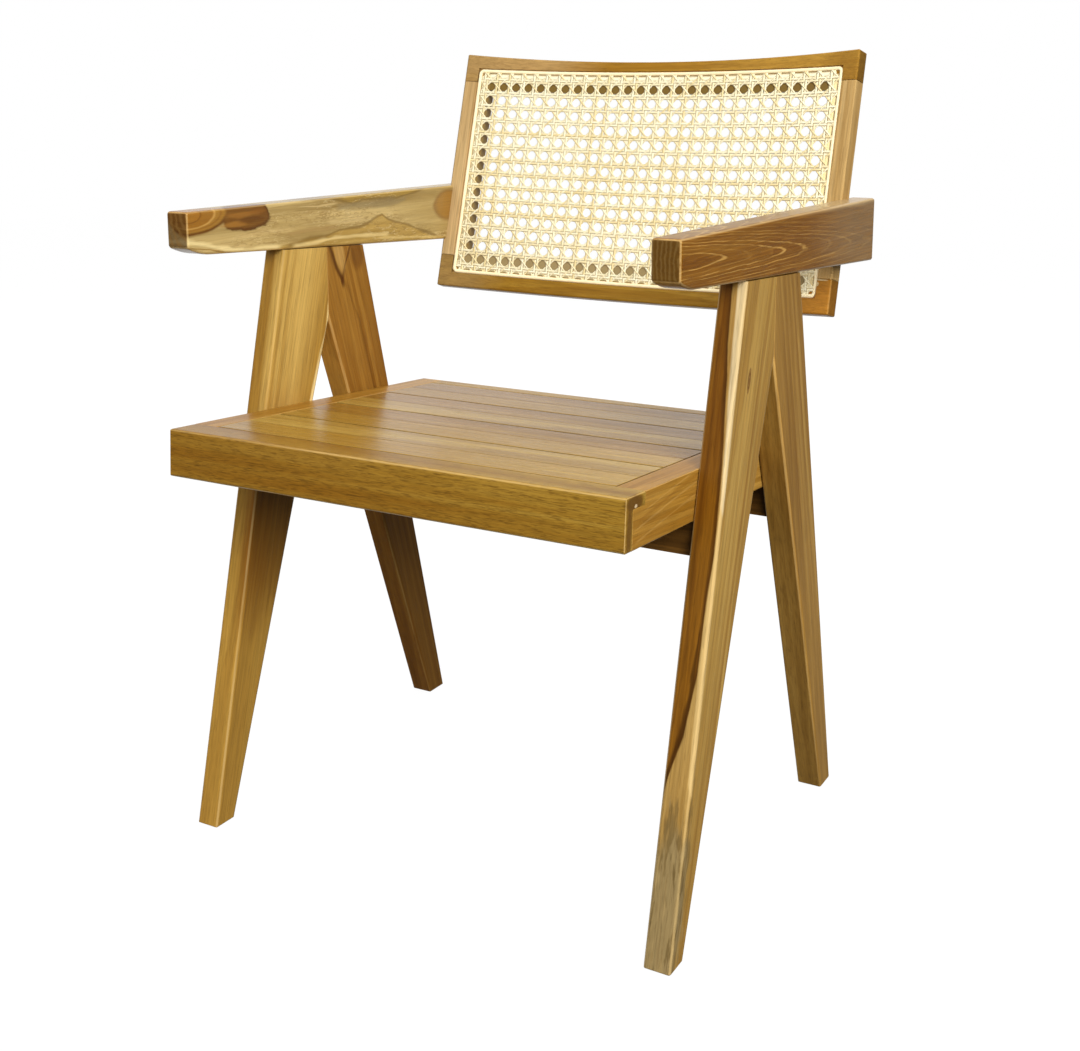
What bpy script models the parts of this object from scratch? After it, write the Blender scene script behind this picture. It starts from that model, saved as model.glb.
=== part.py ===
import math

import bmesh
import bpy
from mathutils import Vector

# Armchair with V-shaped side legs, a slatted seat and a caned back. Metres and degrees, +Z up,
# the sitter faces -Y. A size called REACH is measured forward or back from the upright joint
# between the front and rear legs.
CLEARANCE = 0.0003            # gap left between pieces that touch
SEAT_WIDTH = 0.484            # clear width between the two side frames
STOCK = 0.0265                # thickness of the legs and arms
EDGE_ROUND = 0.004            # rounding along the legs
ARM_ROUND = 0.003             # rounding of the arms
SMALL_ROUND = 0.002           # rounding of the seat frame and the back frame

FRONT_FOOT_REACH = 0.208      # leg joint to the toe of the front foot
FRONT_FOOT_LENGTH = 0.028
FRONT_LEG_TOP = 0.0707        # width of the front leg under the arm
REAR_FOOT_REACH = 0.216       # leg joint to the heel of the rear foot
REAR_FOOT_LENGTH = 0.0315
REAR_LEG_TOP = 0.0668
LEG_JOINT_LENGTH = 0.080      # upright joint from the fork of the legs to the arm

ARM_HEIGHT = 0.6325           # level top of the arms
ARM_FRONT_REACH = 0.2116
ARM_TAIL = 0.027              # arm left behind the back frame
ARM_DEPTH_FRONT = 0.0416
ARM_DEPTH_REAR = 0.0671
ARM_NOSE_LENGTH = 0.033       # rounded stretch under the front end
ARM_NOSE_RISE = 0.007
ARM_NOSE_STEPS = 6

SEAT_HEIGHT = 0.430           # top of the seat at its front edge
SEAT_FRONT_REACH = 0.248
SEAT_DEPTH = 0.429
SEAT_TILT = 3.36
SEAT_RAIL_HEIGHT = 0.046
SIDE_RAIL_WIDTH = 0.027
REAR_RAIL_WIDTH = 0.022
APRON_WIDTH = 0.035           # top of the front apron, front to back
APRON_FACE = 0.0125           # thickness of the apron ahead of the side rails
APRON_LIP = 0.011             # thickness of the apron over the side rails
SLAT_COUNT = 8
SLAT_GAP = 0.002
SLAT_THICKNESS = 0.016
SLAT_ROUND = 0.001
TONGUE_LENGTH = 0.008
TONGUE_THICKNESS = 0.006
TONGUE_SHOULDER = 0.004
CROSS_RAIL_WIDTH = 0.026
CROSS_RAIL_HEIGHT = 0.033
TENON_LENGTH = 0.015
TENON_SHOULDER = 0.006

BACK_REACH = 0.2165           # leg joint to the foremost bottom corners of the back
BACK_BOTTOM = 0.514           # height of those corners
BACK_HEIGHT = 0.2864          # along the recline
BACK_RECLINE = 15.5
BACK_HOUSING = 0.004          # depth that the back frame is let into each arm
BACK_SAG = 0.022              # hollow of the back over its width
BACK_THICKNESS = 0.018
BACK_MEMBER = 0.043           # face width of the back's rails
BACK_STILE = 0.033            # face width of the back's uprights
BACK_TOP_JOINT = 0.0335       # top rail where it meets the uprights
BACK_BOTTOM_JOINT = 0.038     # bottom rail where it meets the uprights
BACK_TOP_DIP = 0.0055         # dip of the top edge at mid width
BACK_TENON_DEPTH = 0.0095     # front face of the back to its tenons
BACK_TENON_THICKNESS = 0.0055
BACK_SEGMENTS = 24            # facets across the curve of the back

CANE_BORDER = 0.017           # wood that shows around the cane
CANE_RECESS = 0.003
CANE_THICKNESS = 0.002
CANE_PITCH = 0.0162           # centre to centre of the open holes, across the back
CANE_PITCH_UP = 0.0163        # the same up the back
CANE_SHIFT = -0.0008          # middle of the woven holes off the middle of the back
CANE_DROP = 0.0018            # the same middle, below half height
CANE_STRAND = 0.0066          # woven band between two holes
SPLINE_WIDTH = 0.004
SPLINE_SINK = 0.0006          # top of the spline below the face of the frame
GROOVE_DEPTH = 0.0085

DOWEL_RADIUS = 0.004
DOWEL_LENGTH = 0.030
LEG_DOWEL_SPACING = 0.030
BACK_DOWEL_RADIUS = 0.003
BACK_DOWEL_LENGTH = 0.024
BACK_DOWEL_SPACING = 0.028
SEAT_DOWEL_RADIUS = 0.003
SEAT_DOWEL_SPACING = 0.015
APRON_DOWEL_LENGTH = 0.015
REAR_DOWEL_LENGTH = 0.024
DOWEL_SIDES = 10
SCREW_SHANK_RADIUS = 0.0022
SCREW_HEAD_RADIUS = 0.0045
SCREW_HEAD_HEIGHT = 0.003
SCREW_COUNTERBORE = 0.006
SCREW_GRIP = 0.018            # thread held in the seat's side rail
SCREW_STEPS = 12

OVERCUT = 0.01                # how far a cutter stands out of the wood that it cuts
WELD = 1e-6

LEG_WOOD = (0.36, 0.19, 0.055)
ARM_WOOD = (0.34, 0.17, 0.055)
SEAT_WOOD = (0.42, 0.24, 0.075)
RAIL_WOOD = (0.17, 0.08, 0.025)
BACK_WOOD = (0.38, 0.20, 0.06)
CANE = (0.80, 0.66, 0.36)
REED = (0.84, 0.70, 0.40)
BEECH = (0.62, 0.42, 0.22)
STEEL = (0.55, 0.55, 0.56)

SIDES = (("left", -1), ("right", 1))

# Values that follow from the sizes above
side_inner = SEAT_WIDTH / 2
side_middle = side_inner + STOCK / 2
tilt = math.radians(SEAT_TILT)
recline = math.radians(BACK_RECLINE)
back_half = side_inner + BACK_HOUSING
back_radius = (back_half**2 + BACK_SAG**2) / (2 * BACK_SAG)
back_angle = math.asin(back_half / back_radius)
back_reach_u = back_radius * back_angle
seat_half = side_inner - CLEARANCE
rail_inner = seat_half - SIDE_RAIL_WIDTH
arm_rear = (
    BACK_REACH
    + (ARM_HEIGHT - BACK_BOTTOM) * math.tan(recline)
    + BACK_THICKNESS / math.cos(recline)
    + ARM_TAIL
)


def arm_underside(y):
    share = (y + ARM_FRONT_REACH) / (arm_rear + ARM_FRONT_REACH)
    return ARM_HEIGHT - ARM_DEPTH_FRONT - share * (ARM_DEPTH_REAR - ARM_DEPTH_FRONT)


fork_height = arm_underside(0) - LEG_JOINT_LENGTH
back_top_rear = (
    BACK_REACH
    + (BACK_SAG + BACK_THICKNESS) * math.cos(recline)
    + (BACK_HEIGHT - BACK_TOP_DIP) * math.sin(recline)
)
seat_lowest_front = -SEAT_FRONT_REACH - SEAT_RAIL_HEIGHT * math.sin(tilt)
middle_y = (back_top_rear + seat_lowest_front) / 2


# Scene and small helpers
for old in list(bpy.data.objects):
    bpy.data.objects.remove(old, do_unlink=True)

parts = bpy.data.collections.new("rattan_dining_chair")
cutters = bpy.data.collections.new("chair_cutters")
bpy.context.scene.collection.children.link(parts)
bpy.context.scene.collection.children.link(cutters)


def new_frame(name, location, rotation, parent):
    frame = bpy.data.objects.new(name, None)
    parts.objects.link(frame)
    frame.location = location
    frame.rotation_euler = rotation
    frame.parent = parent
    return frame


def new_object(name, bm, parent, collection=parts):
    bmesh.ops.recalc_face_normals(bm, faces=bm.faces)
    mesh = bpy.data.meshes.new(name)
    bm.to_mesh(mesh)
    bm.free()
    obj = bpy.data.objects.new(name, mesh)
    collection.objects.link(obj)
    obj.parent = parent
    if collection is cutters:
        obj.hide_render = True
        obj.display_type = "WIRE"
    return obj


def paint(obj, colour, roughness=0.4, metallic=0.0):
    material = bpy.data.materials.new(obj.name)
    material.use_nodes = True
    shader = material.node_tree.nodes["Principled BSDF"]
    shader.inputs["Base Color"].default_value = (*colour, 1.0)
    shader.inputs["Roughness"].default_value = roughness
    shader.inputs["Metallic"].default_value = metallic
    obj.data.materials.append(material)
    return obj


def add_boolean(host, tool, operation):
    modifier = host.modifiers.new(f"{operation.lower()}_{tool.name}", "BOOLEAN")
    modifier.operation = operation
    modifier.solver = "EXACT"
    modifier.object = tool


def cut(host, tool):
    add_boolean(host, tool, "DIFFERENCE")


def join(host, tool):
    add_boolean(host, tool, "UNION")


def box(low, high):
    bm = bmesh.new()
    bmesh.ops.create_cube(bm, size=1.0)
    low = Vector(low)
    high = Vector(high)
    bmesh.ops.scale(bm, vec=high - low, verts=bm.verts)
    bmesh.ops.translate(bm, vec=(low + high) / 2, verts=bm.verts)
    return bm


def round_edges(bm, radius, wanted):
    edges = [e for e in bm.edges if wanted((e.verts[0].co + e.verts[1].co) / 2)]
    bmesh.ops.bevel(bm, geom=edges, offset=radius, segments=2, profile=0.5, affect="EDGES")


def smooth(obj):
    obj.data.shade_smooth()
    obj.data.set_sharp_from_angle(angle=math.radians(40))
    return obj


# A peg along its own Z, and the hole that it sits in
def peg(name, radius, length, centre, axis, parent, collection):
    bm = bmesh.new()
    bmesh.ops.create_cone(
        bm, cap_ends=True, segments=DOWEL_SIDES, radius1=radius, radius2=radius, depth=length
    )
    obj = new_object(name, bm, parent, collection)
    obj.location = centre
    obj.rotation_euler = Vector(axis).to_track_quat("Z", "Y").to_euler()
    return obj


def dowel(name, radius, length, centre, axis, parent, hosts):
    pin = peg(name, radius, length, centre, axis, parent, parts)
    paint(smooth(pin), BEECH, 0.6)
    hole = peg(
        f"{name}_hole", radius + CLEARANCE, length + 2 * CLEARANCE, centre, axis, parent, cutters
    )
    for host in hosts:
        cut(host, hole)


# A board cut from an outline in side view, standing at x
def board(name, outline, x, parent):
    curve = bpy.data.curves.new(f"{name}_outline", "CURVE")
    curve.dimensions = "2D"
    curve.fill_mode = "BOTH"
    curve.extrude = STOCK / 2
    spline = curve.splines.new("POLY")
    spline.points.add(len(outline) - 1)
    for point, (y, z) in zip(spline.points, outline):
        point.co = (y, z, 0, 1)
    spline.use_cyclic_u = True
    drawn = bpy.data.objects.new(f"{name}_outline", curve)
    parts.objects.link(drawn)
    mesh = bpy.data.meshes.new_from_object(drawn.evaluated_get(bpy.context.evaluated_depsgraph_get()))
    bpy.data.objects.remove(drawn, do_unlink=True)
    bm = bmesh.new()
    bm.from_mesh(mesh)
    bpy.data.meshes.remove(mesh)
    bmesh.ops.remove_doubles(bm, verts=bm.verts, dist=WELD)
    bmesh.ops.dissolve_limit(bm, angle_limit=math.radians(0.5), verts=bm.verts, edges=bm.edges)
    obj = new_object(name, bm, parent)
    obj.location.x = x
    obj.rotation_euler = (math.pi / 2, 0, math.pi / 2)
    return obj


# Rounds the edges of both flat sides of a board between the outline points named in pairs
def round_board(obj, radius, pairs):
    bm = bmesh.new()
    bm.from_mesh(obj.data)

    def on_pair(edge):
        ends = [vertex.co for vertex in edge.verts]
        if abs(ends[0].z - ends[1].z) > WELD:
            return False
        flat = [Vector((end.x, end.y)) for end in ends]
        for pair in pairs:
            first, second = (Vector(point) for point in pair)
            straight = (flat[0] - first).length + (flat[1] - second).length
            turned = (flat[0] - second).length + (flat[1] - first).length
            if min(straight, turned) < 10 * WELD:
                return True
        return False

    edges = [edge for edge in bm.edges if on_pair(edge)]
    bmesh.ops.bevel(bm, geom=edges, offset=radius, segments=2, profile=0.5, affect="EDGES")
    bm.to_mesh(obj.data)
    bm.free()


# A point of the back: u along the curve of its front face, w into its thickness, v up the recline
def back_point(u, w, v):
    angle = u / back_radius
    reach = back_radius + w
    return Vector(
        (
            reach * math.sin(angle),
            reach * math.cos(angle) - back_radius * math.cos(back_angle),
            v,
        )
    )


# A bar of the back, straight at first, then cut into facets and bent. The phase moves its facet
# lines along, so that the lines of a cutter never fall on those of the piece that it cuts.
def back_bar(u_range, w_range, v_range, rounded=None, dip=0.0, phase=0.0):
    bm = box((u_range[0], w_range[0], v_range[0]), (u_range[1], w_range[1], v_range[1]))
    if rounded:
        round_edges(bm, SMALL_ROUND, rounded)
    for step in range(BACK_SEGMENTS):
        u = back_reach_u * (2 * (step + phase) / BACK_SEGMENTS - 1)
        if u_range[0] + SMALL_ROUND < u < u_range[1] - SMALL_ROUND:
            bmesh.ops.bisect_plane(
                bm,
                geom=[*bm.verts, *bm.edges, *bm.faces],
                dist=WELD,
                plane_co=(u, 0, 0),
                plane_no=(1, 0, 0),
            )
    span = v_range[1] - v_range[0]
    for vertex in bm.verts:
        u, w, v = vertex.co
        share = (v - v_range[0]) / span
        vertex.co = back_point(u, w, v - dip * share * (1 - (u / back_reach_u) ** 2))
    return bm


# Side frames: two legs and an arm each
chair = new_frame("chair", (0, -middle_y, 0), (0, 0, 0), None)


def make_leg(name, direction, foot_reach, foot_length, top_width, side):
    joint = direction * CLEARANCE / 2
    front_top = direction * top_width
    toe = (direction * foot_reach, 0.0)
    heel = (direction * (foot_reach - foot_length), 0.0)
    fork = (joint, fork_height)
    joint_top = (joint, arm_underside(joint) - CLEARANCE)
    outer_top = (front_top, arm_underside(front_top) - CLEARANCE)
    leg = board(name, [toe, heel, fork, joint_top, outer_top], side * side_middle, chair)
    round_board(leg, EDGE_ROUND, [(heel, fork), (outer_top, toe)])
    return paint(smooth(leg), LEG_WOOD)


def make_arm(name, side):
    nose = []
    for step in range(ARM_NOSE_STEPS + 1):
        share = step / ARM_NOSE_STEPS
        y = -ARM_FRONT_REACH + ARM_NOSE_LENGTH * (1 - share)
        nose.append((y, arm_underside(y) + ARM_NOSE_RISE * share**2))
    outline = [
        (-ARM_FRONT_REACH, ARM_HEIGHT),
        (arm_rear, ARM_HEIGHT),
        (arm_rear, arm_underside(arm_rear)),
        *nose,
    ]
    arm = board(name, outline, side * side_middle, chair)
    bevel = arm.modifiers.new("rounded_edges", "BEVEL")
    bevel.width = ARM_ROUND
    bevel.segments = 2
    bevel.limit_method = "ANGLE"
    bevel.angle_limit = math.radians(40)
    return paint(smooth(arm), ARM_WOOD)


front_legs = {}
rear_legs = {}
arms = {}
for side_name, side in SIDES:
    front_legs[side_name] = make_leg(
        f"front_leg_{side_name}", -1, FRONT_FOOT_REACH, FRONT_FOOT_LENGTH, FRONT_LEG_TOP, side
    )
    rear_legs[side_name] = make_leg(
        f"rear_leg_{side_name}", 1, REAR_FOOT_REACH, REAR_FOOT_LENGTH, REAR_LEG_TOP, side
    )
    arms[side_name] = make_arm(f"armrest_{side_name}", side)

for side_name, side in SIDES:
    x = side * side_middle
    joint_middle = fork_height + LEG_JOINT_LENGTH / 2
    for place, offset in (("lower", -1), ("upper", 1)):
        dowel(
            f"leg_dowel_{side_name}_{place}",
            DOWEL_RADIUS,
            DOWEL_LENGTH,
            (x, 0, joint_middle + offset * LEG_DOWEL_SPACING / 2),
            (0, 1, 0),
            chair,
            (front_legs[side_name], rear_legs[side_name]),
        )
    for place, leg, y in (
        ("front", front_legs[side_name], -FRONT_LEG_TOP / 2),
        ("rear", rear_legs[side_name], REAR_LEG_TOP / 2),
    ):
        dowel(
            f"arm_dowel_{side_name}_{place}",
            DOWEL_RADIUS,
            DOWEL_LENGTH,
            (x, y, arm_underside(y)),
            (0, 0, 1),
            chair,
            (leg, arms[side_name]),
        )


# Seat: a tilted frame whose origin is the middle of its front top edge, Y to the rear
seat = new_frame("seat", (0, -SEAT_FRONT_REACH, SEAT_HEIGHT), (-tilt, 0, 0), chair)
rear_rail_front = SEAT_DEPTH - REAR_RAIL_WIDTH
tongue_middle = -SLAT_THICKNESS / 2


def make_apron():
    bm = box((-seat_half, 0, -SEAT_RAIL_HEIGHT), (seat_half, APRON_WIDTH, 0))
    round_edges(bm, SMALL_ROUND, lambda middle: middle.y < APRON_WIDTH / 2)
    apron = new_object("seat_front_apron", bm, seat)
    for side_name, side in SIDES:
        reach = sorted((side * (rail_inner - CLEARANCE), side * (seat_half + OVERCUT)))
        corner = new_object(
            f"apron_corner_{side_name}",
            box(
                (reach[0], APRON_FACE, -SEAT_RAIL_HEIGHT - OVERCUT),
                (reach[1], APRON_WIDTH + OVERCUT, -APRON_LIP),
            ),
            seat,
            cutters,
        )
        cut(apron, corner)
    return paint(smooth(apron), SEAT_WOOD)


def make_side_rail(side_name, side):
    reach = sorted((side * rail_inner, side * seat_half))
    bm = box(
        (reach[0], APRON_FACE + CLEARANCE, -SEAT_RAIL_HEIGHT),
        (reach[1], SEAT_DEPTH, 0),
    )
    outer = seat_half - SMALL_ROUND
    long_middle = (APRON_FACE + SEAT_DEPTH) / 2
    round_edges(
        bm,
        SMALL_ROUND,
        lambda middle: side * middle.x > outer and middle.y > long_middle - SMALL_ROUND,
    )
    rail = new_object(f"seat_side_rail_{side_name}", bm, seat)
    notch = sorted((side * (rail_inner - OVERCUT), side * (seat_half + OVERCUT)))
    lip_room = box(
        (notch[0], 0, -APRON_LIP - CLEARANCE), (notch[1], APRON_WIDTH + CLEARANCE, OVERCUT)
    )
    cut(rail, new_object(f"lip_room_{side_name}", lip_room, seat, cutters))
    depth = sorted((side * (rail_inner - OVERCUT), side * (rail_inner + TONGUE_LENGTH + CLEARANCE)))
    half_groove = TONGUE_THICKNESS / 2 + CLEARANCE
    groove = box(
        (depth[0], APRON_WIDTH + 2 * CLEARANCE, tongue_middle - half_groove),
        (depth[1], rear_rail_front - CLEARANCE, tongue_middle + half_groove),
    )
    cut(rail, new_object(f"slat_groove_{side_name}", groove, seat, cutters))
    return paint(smooth(rail), SEAT_WOOD)


def make_rear_rail():
    half = rail_inner - CLEARANCE
    bm = box((-half, rear_rail_front, -SEAT_RAIL_HEIGHT), (half, SEAT_DEPTH, 0))
    rear = SEAT_DEPTH - SMALL_ROUND
    round_edges(bm, SMALL_ROUND, lambda middle: middle.y > rear and abs(middle.x) < half / 2)
    return paint(smooth(new_object("seat_rear_rail", bm, seat)), SEAT_WOOD)


def make_slat(number, front, rear):
    half = rail_inner - CLEARANCE
    bm = box((-half, front, -SLAT_THICKNESS), (half, rear, 0))
    round_edges(
        bm, SLAT_ROUND, lambda middle: middle.z > -SLAT_ROUND and abs(middle.x) < half / 2
    )
    slat = new_object(f"seat_slat_{number}", bm, seat)
    reach = rail_inner + TONGUE_LENGTH
    tongue = box(
        (-reach, front + TONGUE_SHOULDER, tongue_middle - TONGUE_THICKNESS / 2),
        (reach, rear - TONGUE_SHOULDER, tongue_middle + TONGUE_THICKNESS / 2),
    )
    join(slat, new_object(f"slat_tongue_{number}", tongue, seat, cutters))
    return paint(smooth(slat), SEAT_WOOD)


apron = make_apron()
side_rails = {side_name: make_side_rail(side_name, side) for side_name, side in SIDES}
rear_rail = make_rear_rail()
slat_pitch = (rear_rail_front - APRON_WIDTH - SLAT_GAP) / SLAT_COUNT
for index in range(SLAT_COUNT):
    slat_front = APRON_WIDTH + SLAT_GAP + index * slat_pitch
    make_slat(index + 1, slat_front, slat_front + slat_pitch - SLAT_GAP)

for side_name, side in SIDES:
    for place, offset in (("lower", -1), ("upper", 1)):
        z = -(APRON_LIP + SEAT_RAIL_HEIGHT) / 2 + offset * SEAT_DOWEL_SPACING / 2
        dowel(
            f"apron_dowel_{side_name}_{place}",
            SEAT_DOWEL_RADIUS,
            APRON_DOWEL_LENGTH,
            (side * (seat_half - SIDE_RAIL_WIDTH / 2), APRON_FACE, z),
            (0, 1, 0),
            seat,
            (apron, side_rails[side_name]),
        )
        dowel(
            f"rear_dowel_{side_name}_{place}",
            SEAT_DOWEL_RADIUS,
            REAR_DOWEL_LENGTH,
            (side * rail_inner, SEAT_DEPTH - REAR_RAIL_WIDTH / 2, z),
            (1, 0, 0),
            seat,
            (rear_rail, side_rails[side_name]),
        )


# Cross rails under the seat, centred in the legs at their own height
def leg_middle(direction, foot_reach, foot_length, top_width):
    outer_top = arm_underside(direction * top_width)
    outer_slope = direction * (top_width - foot_reach) / outer_top
    inner_slope = -direction * (foot_reach - foot_length) / fork_height
    start = direction * (foot_reach - foot_length / 2)
    return start, (outer_slope + inner_slope) / 2


def cross_rail_place(direction, foot_reach, foot_length, top_width):
    start, slope = leg_middle(direction, foot_reach, foot_length, top_width)
    fall = math.tan(tilt)
    drop = SEAT_RAIL_HEIGHT + CROSS_RAIL_HEIGHT / 2
    middle_height = SEAT_HEIGHT - drop / math.cos(tilt)
    y = (start + slope * (middle_height - fall * SEAT_FRONT_REACH)) / (1 + slope * fall)
    return (y + SEAT_FRONT_REACH) / math.cos(tilt) - drop * fall


def make_cross_rail(place, middle, legs):
    top = -SEAT_RAIL_HEIGHT - CLEARANCE
    bottom = top - CROSS_RAIL_HEIGHT
    front = middle - CROSS_RAIL_WIDTH / 2
    rear = middle + CROSS_RAIL_WIDTH / 2
    rail = new_object(
        f"cross_rail_{place}", box((-seat_half, front, bottom), (seat_half, rear, top)), seat
    )
    reach = seat_half + TENON_LENGTH
    low = Vector((-reach, front + TENON_SHOULDER, bottom + TENON_SHOULDER))
    high = Vector((reach, rear - TENON_SHOULDER, top - TENON_SHOULDER))
    room = Vector((CLEARANCE, CLEARANCE, CLEARANCE))
    join(rail, new_object(f"tenon_{place}", box(low, high), seat, cutters))
    mortise = new_object(f"mortise_{place}", box(low - room, high + room), seat, cutters)
    for leg in legs.values():
        cut(leg, mortise)
    return paint(smooth(rail), RAIL_WOOD)


# A turned profile from its top on the axis down its outer side
def turned(name, profile, location, collection):
    mesh = bpy.data.meshes.new(name)
    points = [(radius, 0, z) for radius, z in profile]
    mesh.from_pydata(points, [(i, i + 1) for i in range(len(points) - 1)], [])
    obj = bpy.data.objects.new(name, mesh)
    collection.objects.link(obj)
    obj.parent = seat
    obj.location = location
    screw = obj.modifiers.new("turned", "SCREW")
    screw.axis = "Z"
    screw.steps = SCREW_STEPS
    screw.render_steps = SCREW_STEPS
    screw.use_merge_vertices = True
    screw.merge_threshold = WELD
    if collection is cutters:
        obj.hide_render = True
        obj.display_type = "WIRE"
    return obj


def seat_screw(name, x, y, hosts):
    tip = -SEAT_RAIL_HEIGHT + SCREW_GRIP
    rail_bottom = -SEAT_RAIL_HEIGHT - CLEARANCE - CROSS_RAIL_HEIGHT
    bearing = rail_bottom + SCREW_COUNTERBORE
    head_top = bearing - CLEARANCE
    head_bottom = head_top - SCREW_HEAD_HEIGHT
    shape = [
        (0, tip),
        (SCREW_SHANK_RADIUS, tip),
        (SCREW_SHANK_RADIUS, head_top),
        (SCREW_HEAD_RADIUS, head_top),
        (SCREW_HEAD_RADIUS, head_bottom),
        (0, head_bottom),
    ]
    bore = [
        (0, tip + CLEARANCE),
        (SCREW_SHANK_RADIUS + CLEARANCE, tip + CLEARANCE),
        (SCREW_SHANK_RADIUS + CLEARANCE, bearing),
        (SCREW_HEAD_RADIUS + CLEARANCE, bearing),
        (SCREW_HEAD_RADIUS + CLEARANCE, rail_bottom - OVERCUT),
        (0, rail_bottom - OVERCUT),
    ]
    paint(turned(name, shape, (x, y, 0), parts), STEEL, 0.35, 1.0)
    hole = turned(f"{name}_hole", bore, (x, y, 0), cutters)
    for host in hosts:
        cut(host, hole)


for place, legs, direction, foot_reach, foot_length, top_width in (
    ("front", front_legs, -1, FRONT_FOOT_REACH, FRONT_FOOT_LENGTH, FRONT_LEG_TOP),
    ("rear", rear_legs, 1, REAR_FOOT_REACH, REAR_FOOT_LENGTH, REAR_LEG_TOP),
):
    rail_middle = cross_rail_place(direction, foot_reach, foot_length, top_width)
    cross_rail = make_cross_rail(place, rail_middle, legs)
    for side_name, side in SIDES:
        seat_screw(
            f"seat_screw_{place}_{side_name}",
            side * (seat_half - SIDE_RAIL_WIDTH / 2),
            rail_middle,
            (cross_rail, side_rails[side_name]),
        )


# Back: a reclined frame whose origin lies between the bottom front corners, Y into its thickness
back = new_frame("back", (0, BACK_REACH, BACK_BOTTOM), (-recline, 0, 0), chair)
thickness = (0, BACK_THICKNESS)
top_rail_bottom = BACK_HEIGHT - BACK_MEMBER
stile_span = (BACK_BOTTOM_JOINT + CLEARANCE, BACK_HEIGHT - BACK_TOP_JOINT - CLEARANCE)
groove_outer = CANE_BORDER + CLEARANCE
groove_inner = groove_outer + SPLINE_WIDTH + 2 * CLEARANCE


def mirrored(u_range, side):
    return sorted((side * u_range[0], side * u_range[1]))


def back_cutter(name, u_range, w_range, v_range, phase):
    return new_object(name, back_bar(u_range, w_range, v_range, phase=phase), back, cutters)


recess = back_cutter(
    "cane_recess",
    (CANE_BORDER - back_reach_u, back_reach_u - CANE_BORDER),
    (-OVERCUT, CANE_RECESS),
    (CANE_BORDER, BACK_HEIGHT - CANE_BORDER),
    0.5,
)
ring = back_cutter(
    "spline_groove",
    (groove_outer - back_reach_u, back_reach_u - groove_outer),
    (-OVERCUT, GROOVE_DEPTH),
    (groove_outer, BACK_HEIGHT - groove_outer),
    0.3,
)
ring_middle = back_cutter(
    "spline_groove_middle",
    (groove_inner - back_reach_u, back_reach_u - groove_inner),
    (-2 * OVERCUT, GROOVE_DEPTH + OVERCUT),
    (groove_inner, BACK_HEIGHT - groove_inner),
    0.7,
)
cut(ring, ring_middle)


def make_back_rail(place, v_range, joint_v, dip):
    bm = back_bar(
        (-back_reach_u, back_reach_u),
        thickness,
        v_range,
        rounded=lambda middle: abs(middle.z - joint_v) > SMALL_ROUND,
        dip=dip,
    )
    rail = new_object(f"back_{place}_rail", bm, back)
    cut(rail, recess)
    cut(rail, ring)
    return paint(smooth(rail), BACK_WOOD)


def make_stile(side_name, side, rails):
    u_range = mirrored((back_reach_u - BACK_STILE, back_reach_u), side)
    outer = back_reach_u - SMALL_ROUND
    v_middle = (stile_span[0] + stile_span[1]) / 2
    bm = back_bar(
        u_range,
        thickness,
        stile_span,
        rounded=lambda middle: side * middle.x > outer and abs(middle.z - v_middle) < SMALL_ROUND,
    )
    stile = new_object(f"back_stile_{side_name}", bm, back)
    cut(stile, recess)
    cut(stile, ring)
    shoulders = back_cutter(
        f"stile_shoulders_{side_name}",
        mirrored((back_reach_u - BACK_STILE - CLEARANCE, back_reach_u + OVERCUT), side),
        (-OVERCUT, BACK_THICKNESS + OVERCUT),
        (stile_span[0] - CLEARANCE, stile_span[1] + CLEARANCE),
        0.6,
    )
    tenon_u = (back_reach_u - BACK_STILE + TENON_SHOULDER, back_reach_u - TENON_SHOULDER)
    tenon_w = (BACK_TENON_DEPTH, BACK_TENON_DEPTH + BACK_TENON_THICKNESS)
    tenon_v = (stile_span[0] - TENON_LENGTH, stile_span[1] + TENON_LENGTH)
    tenon = back_cutter(f"stile_tenon_{side_name}", mirrored(tenon_u, side), tenon_w, tenon_v, 0.4)
    join(stile, tenon)
    mortise = back_cutter(
        f"stile_mortise_{side_name}",
        mirrored((tenon_u[0] - CLEARANCE, tenon_u[1] + CLEARANCE), side),
        (tenon_w[0] - CLEARANCE, tenon_w[1] + CLEARANCE),
        (tenon_v[0] - CLEARANCE, tenon_v[1] + CLEARANCE),
        0.4,
    )
    for rail in rails:
        cut(rail, shoulders)
        cut(rail, mortise)
    return paint(smooth(stile), BACK_WOOD)


back_rails = (
    make_back_rail("bottom", (0, BACK_MEMBER), BACK_MEMBER, 0.0),
    make_back_rail("top", (top_rail_bottom, BACK_HEIGHT), top_rail_bottom, BACK_TOP_DIP),
)
stiles = {side_name: make_stile(side_name, side, back_rails) for side_name, side in SIDES}

for side_name, side in SIDES:
    housing = back_cutter(
        f"arm_housing_{side_name}",
        mirrored((back_reach_u - BACK_STILE, back_reach_u + CLEARANCE), side),
        (-CLEARANCE, BACK_THICKNESS + CLEARANCE),
        (-OVERCUT, BACK_HEIGHT + OVERCUT),
        0.5,
    )
    cut(arms[side_name], housing)
    end = back_point(side * back_reach_u, BACK_THICKNESS / 2, 0)
    end_y = BACK_REACH + end.y * math.cos(recline)
    arm_middle = (ARM_HEIGHT + arm_underside(end_y)) / 2
    v_middle = (arm_middle - BACK_BOTTOM + end.y * math.sin(recline)) / math.cos(recline)
    for place, offset in (("lower", -1), ("upper", 1)):
        dowel(
            f"back_dowel_{side_name}_{place}",
            BACK_DOWEL_RADIUS,
            BACK_DOWEL_LENGTH,
            (end.x, end.y, v_middle + offset * BACK_DOWEL_SPACING / 2),
            (math.cos(back_angle), -side * math.sin(back_angle), 0),
            back,
            (stiles[side_name], arms[side_name], *back_rails),
        )


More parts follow.
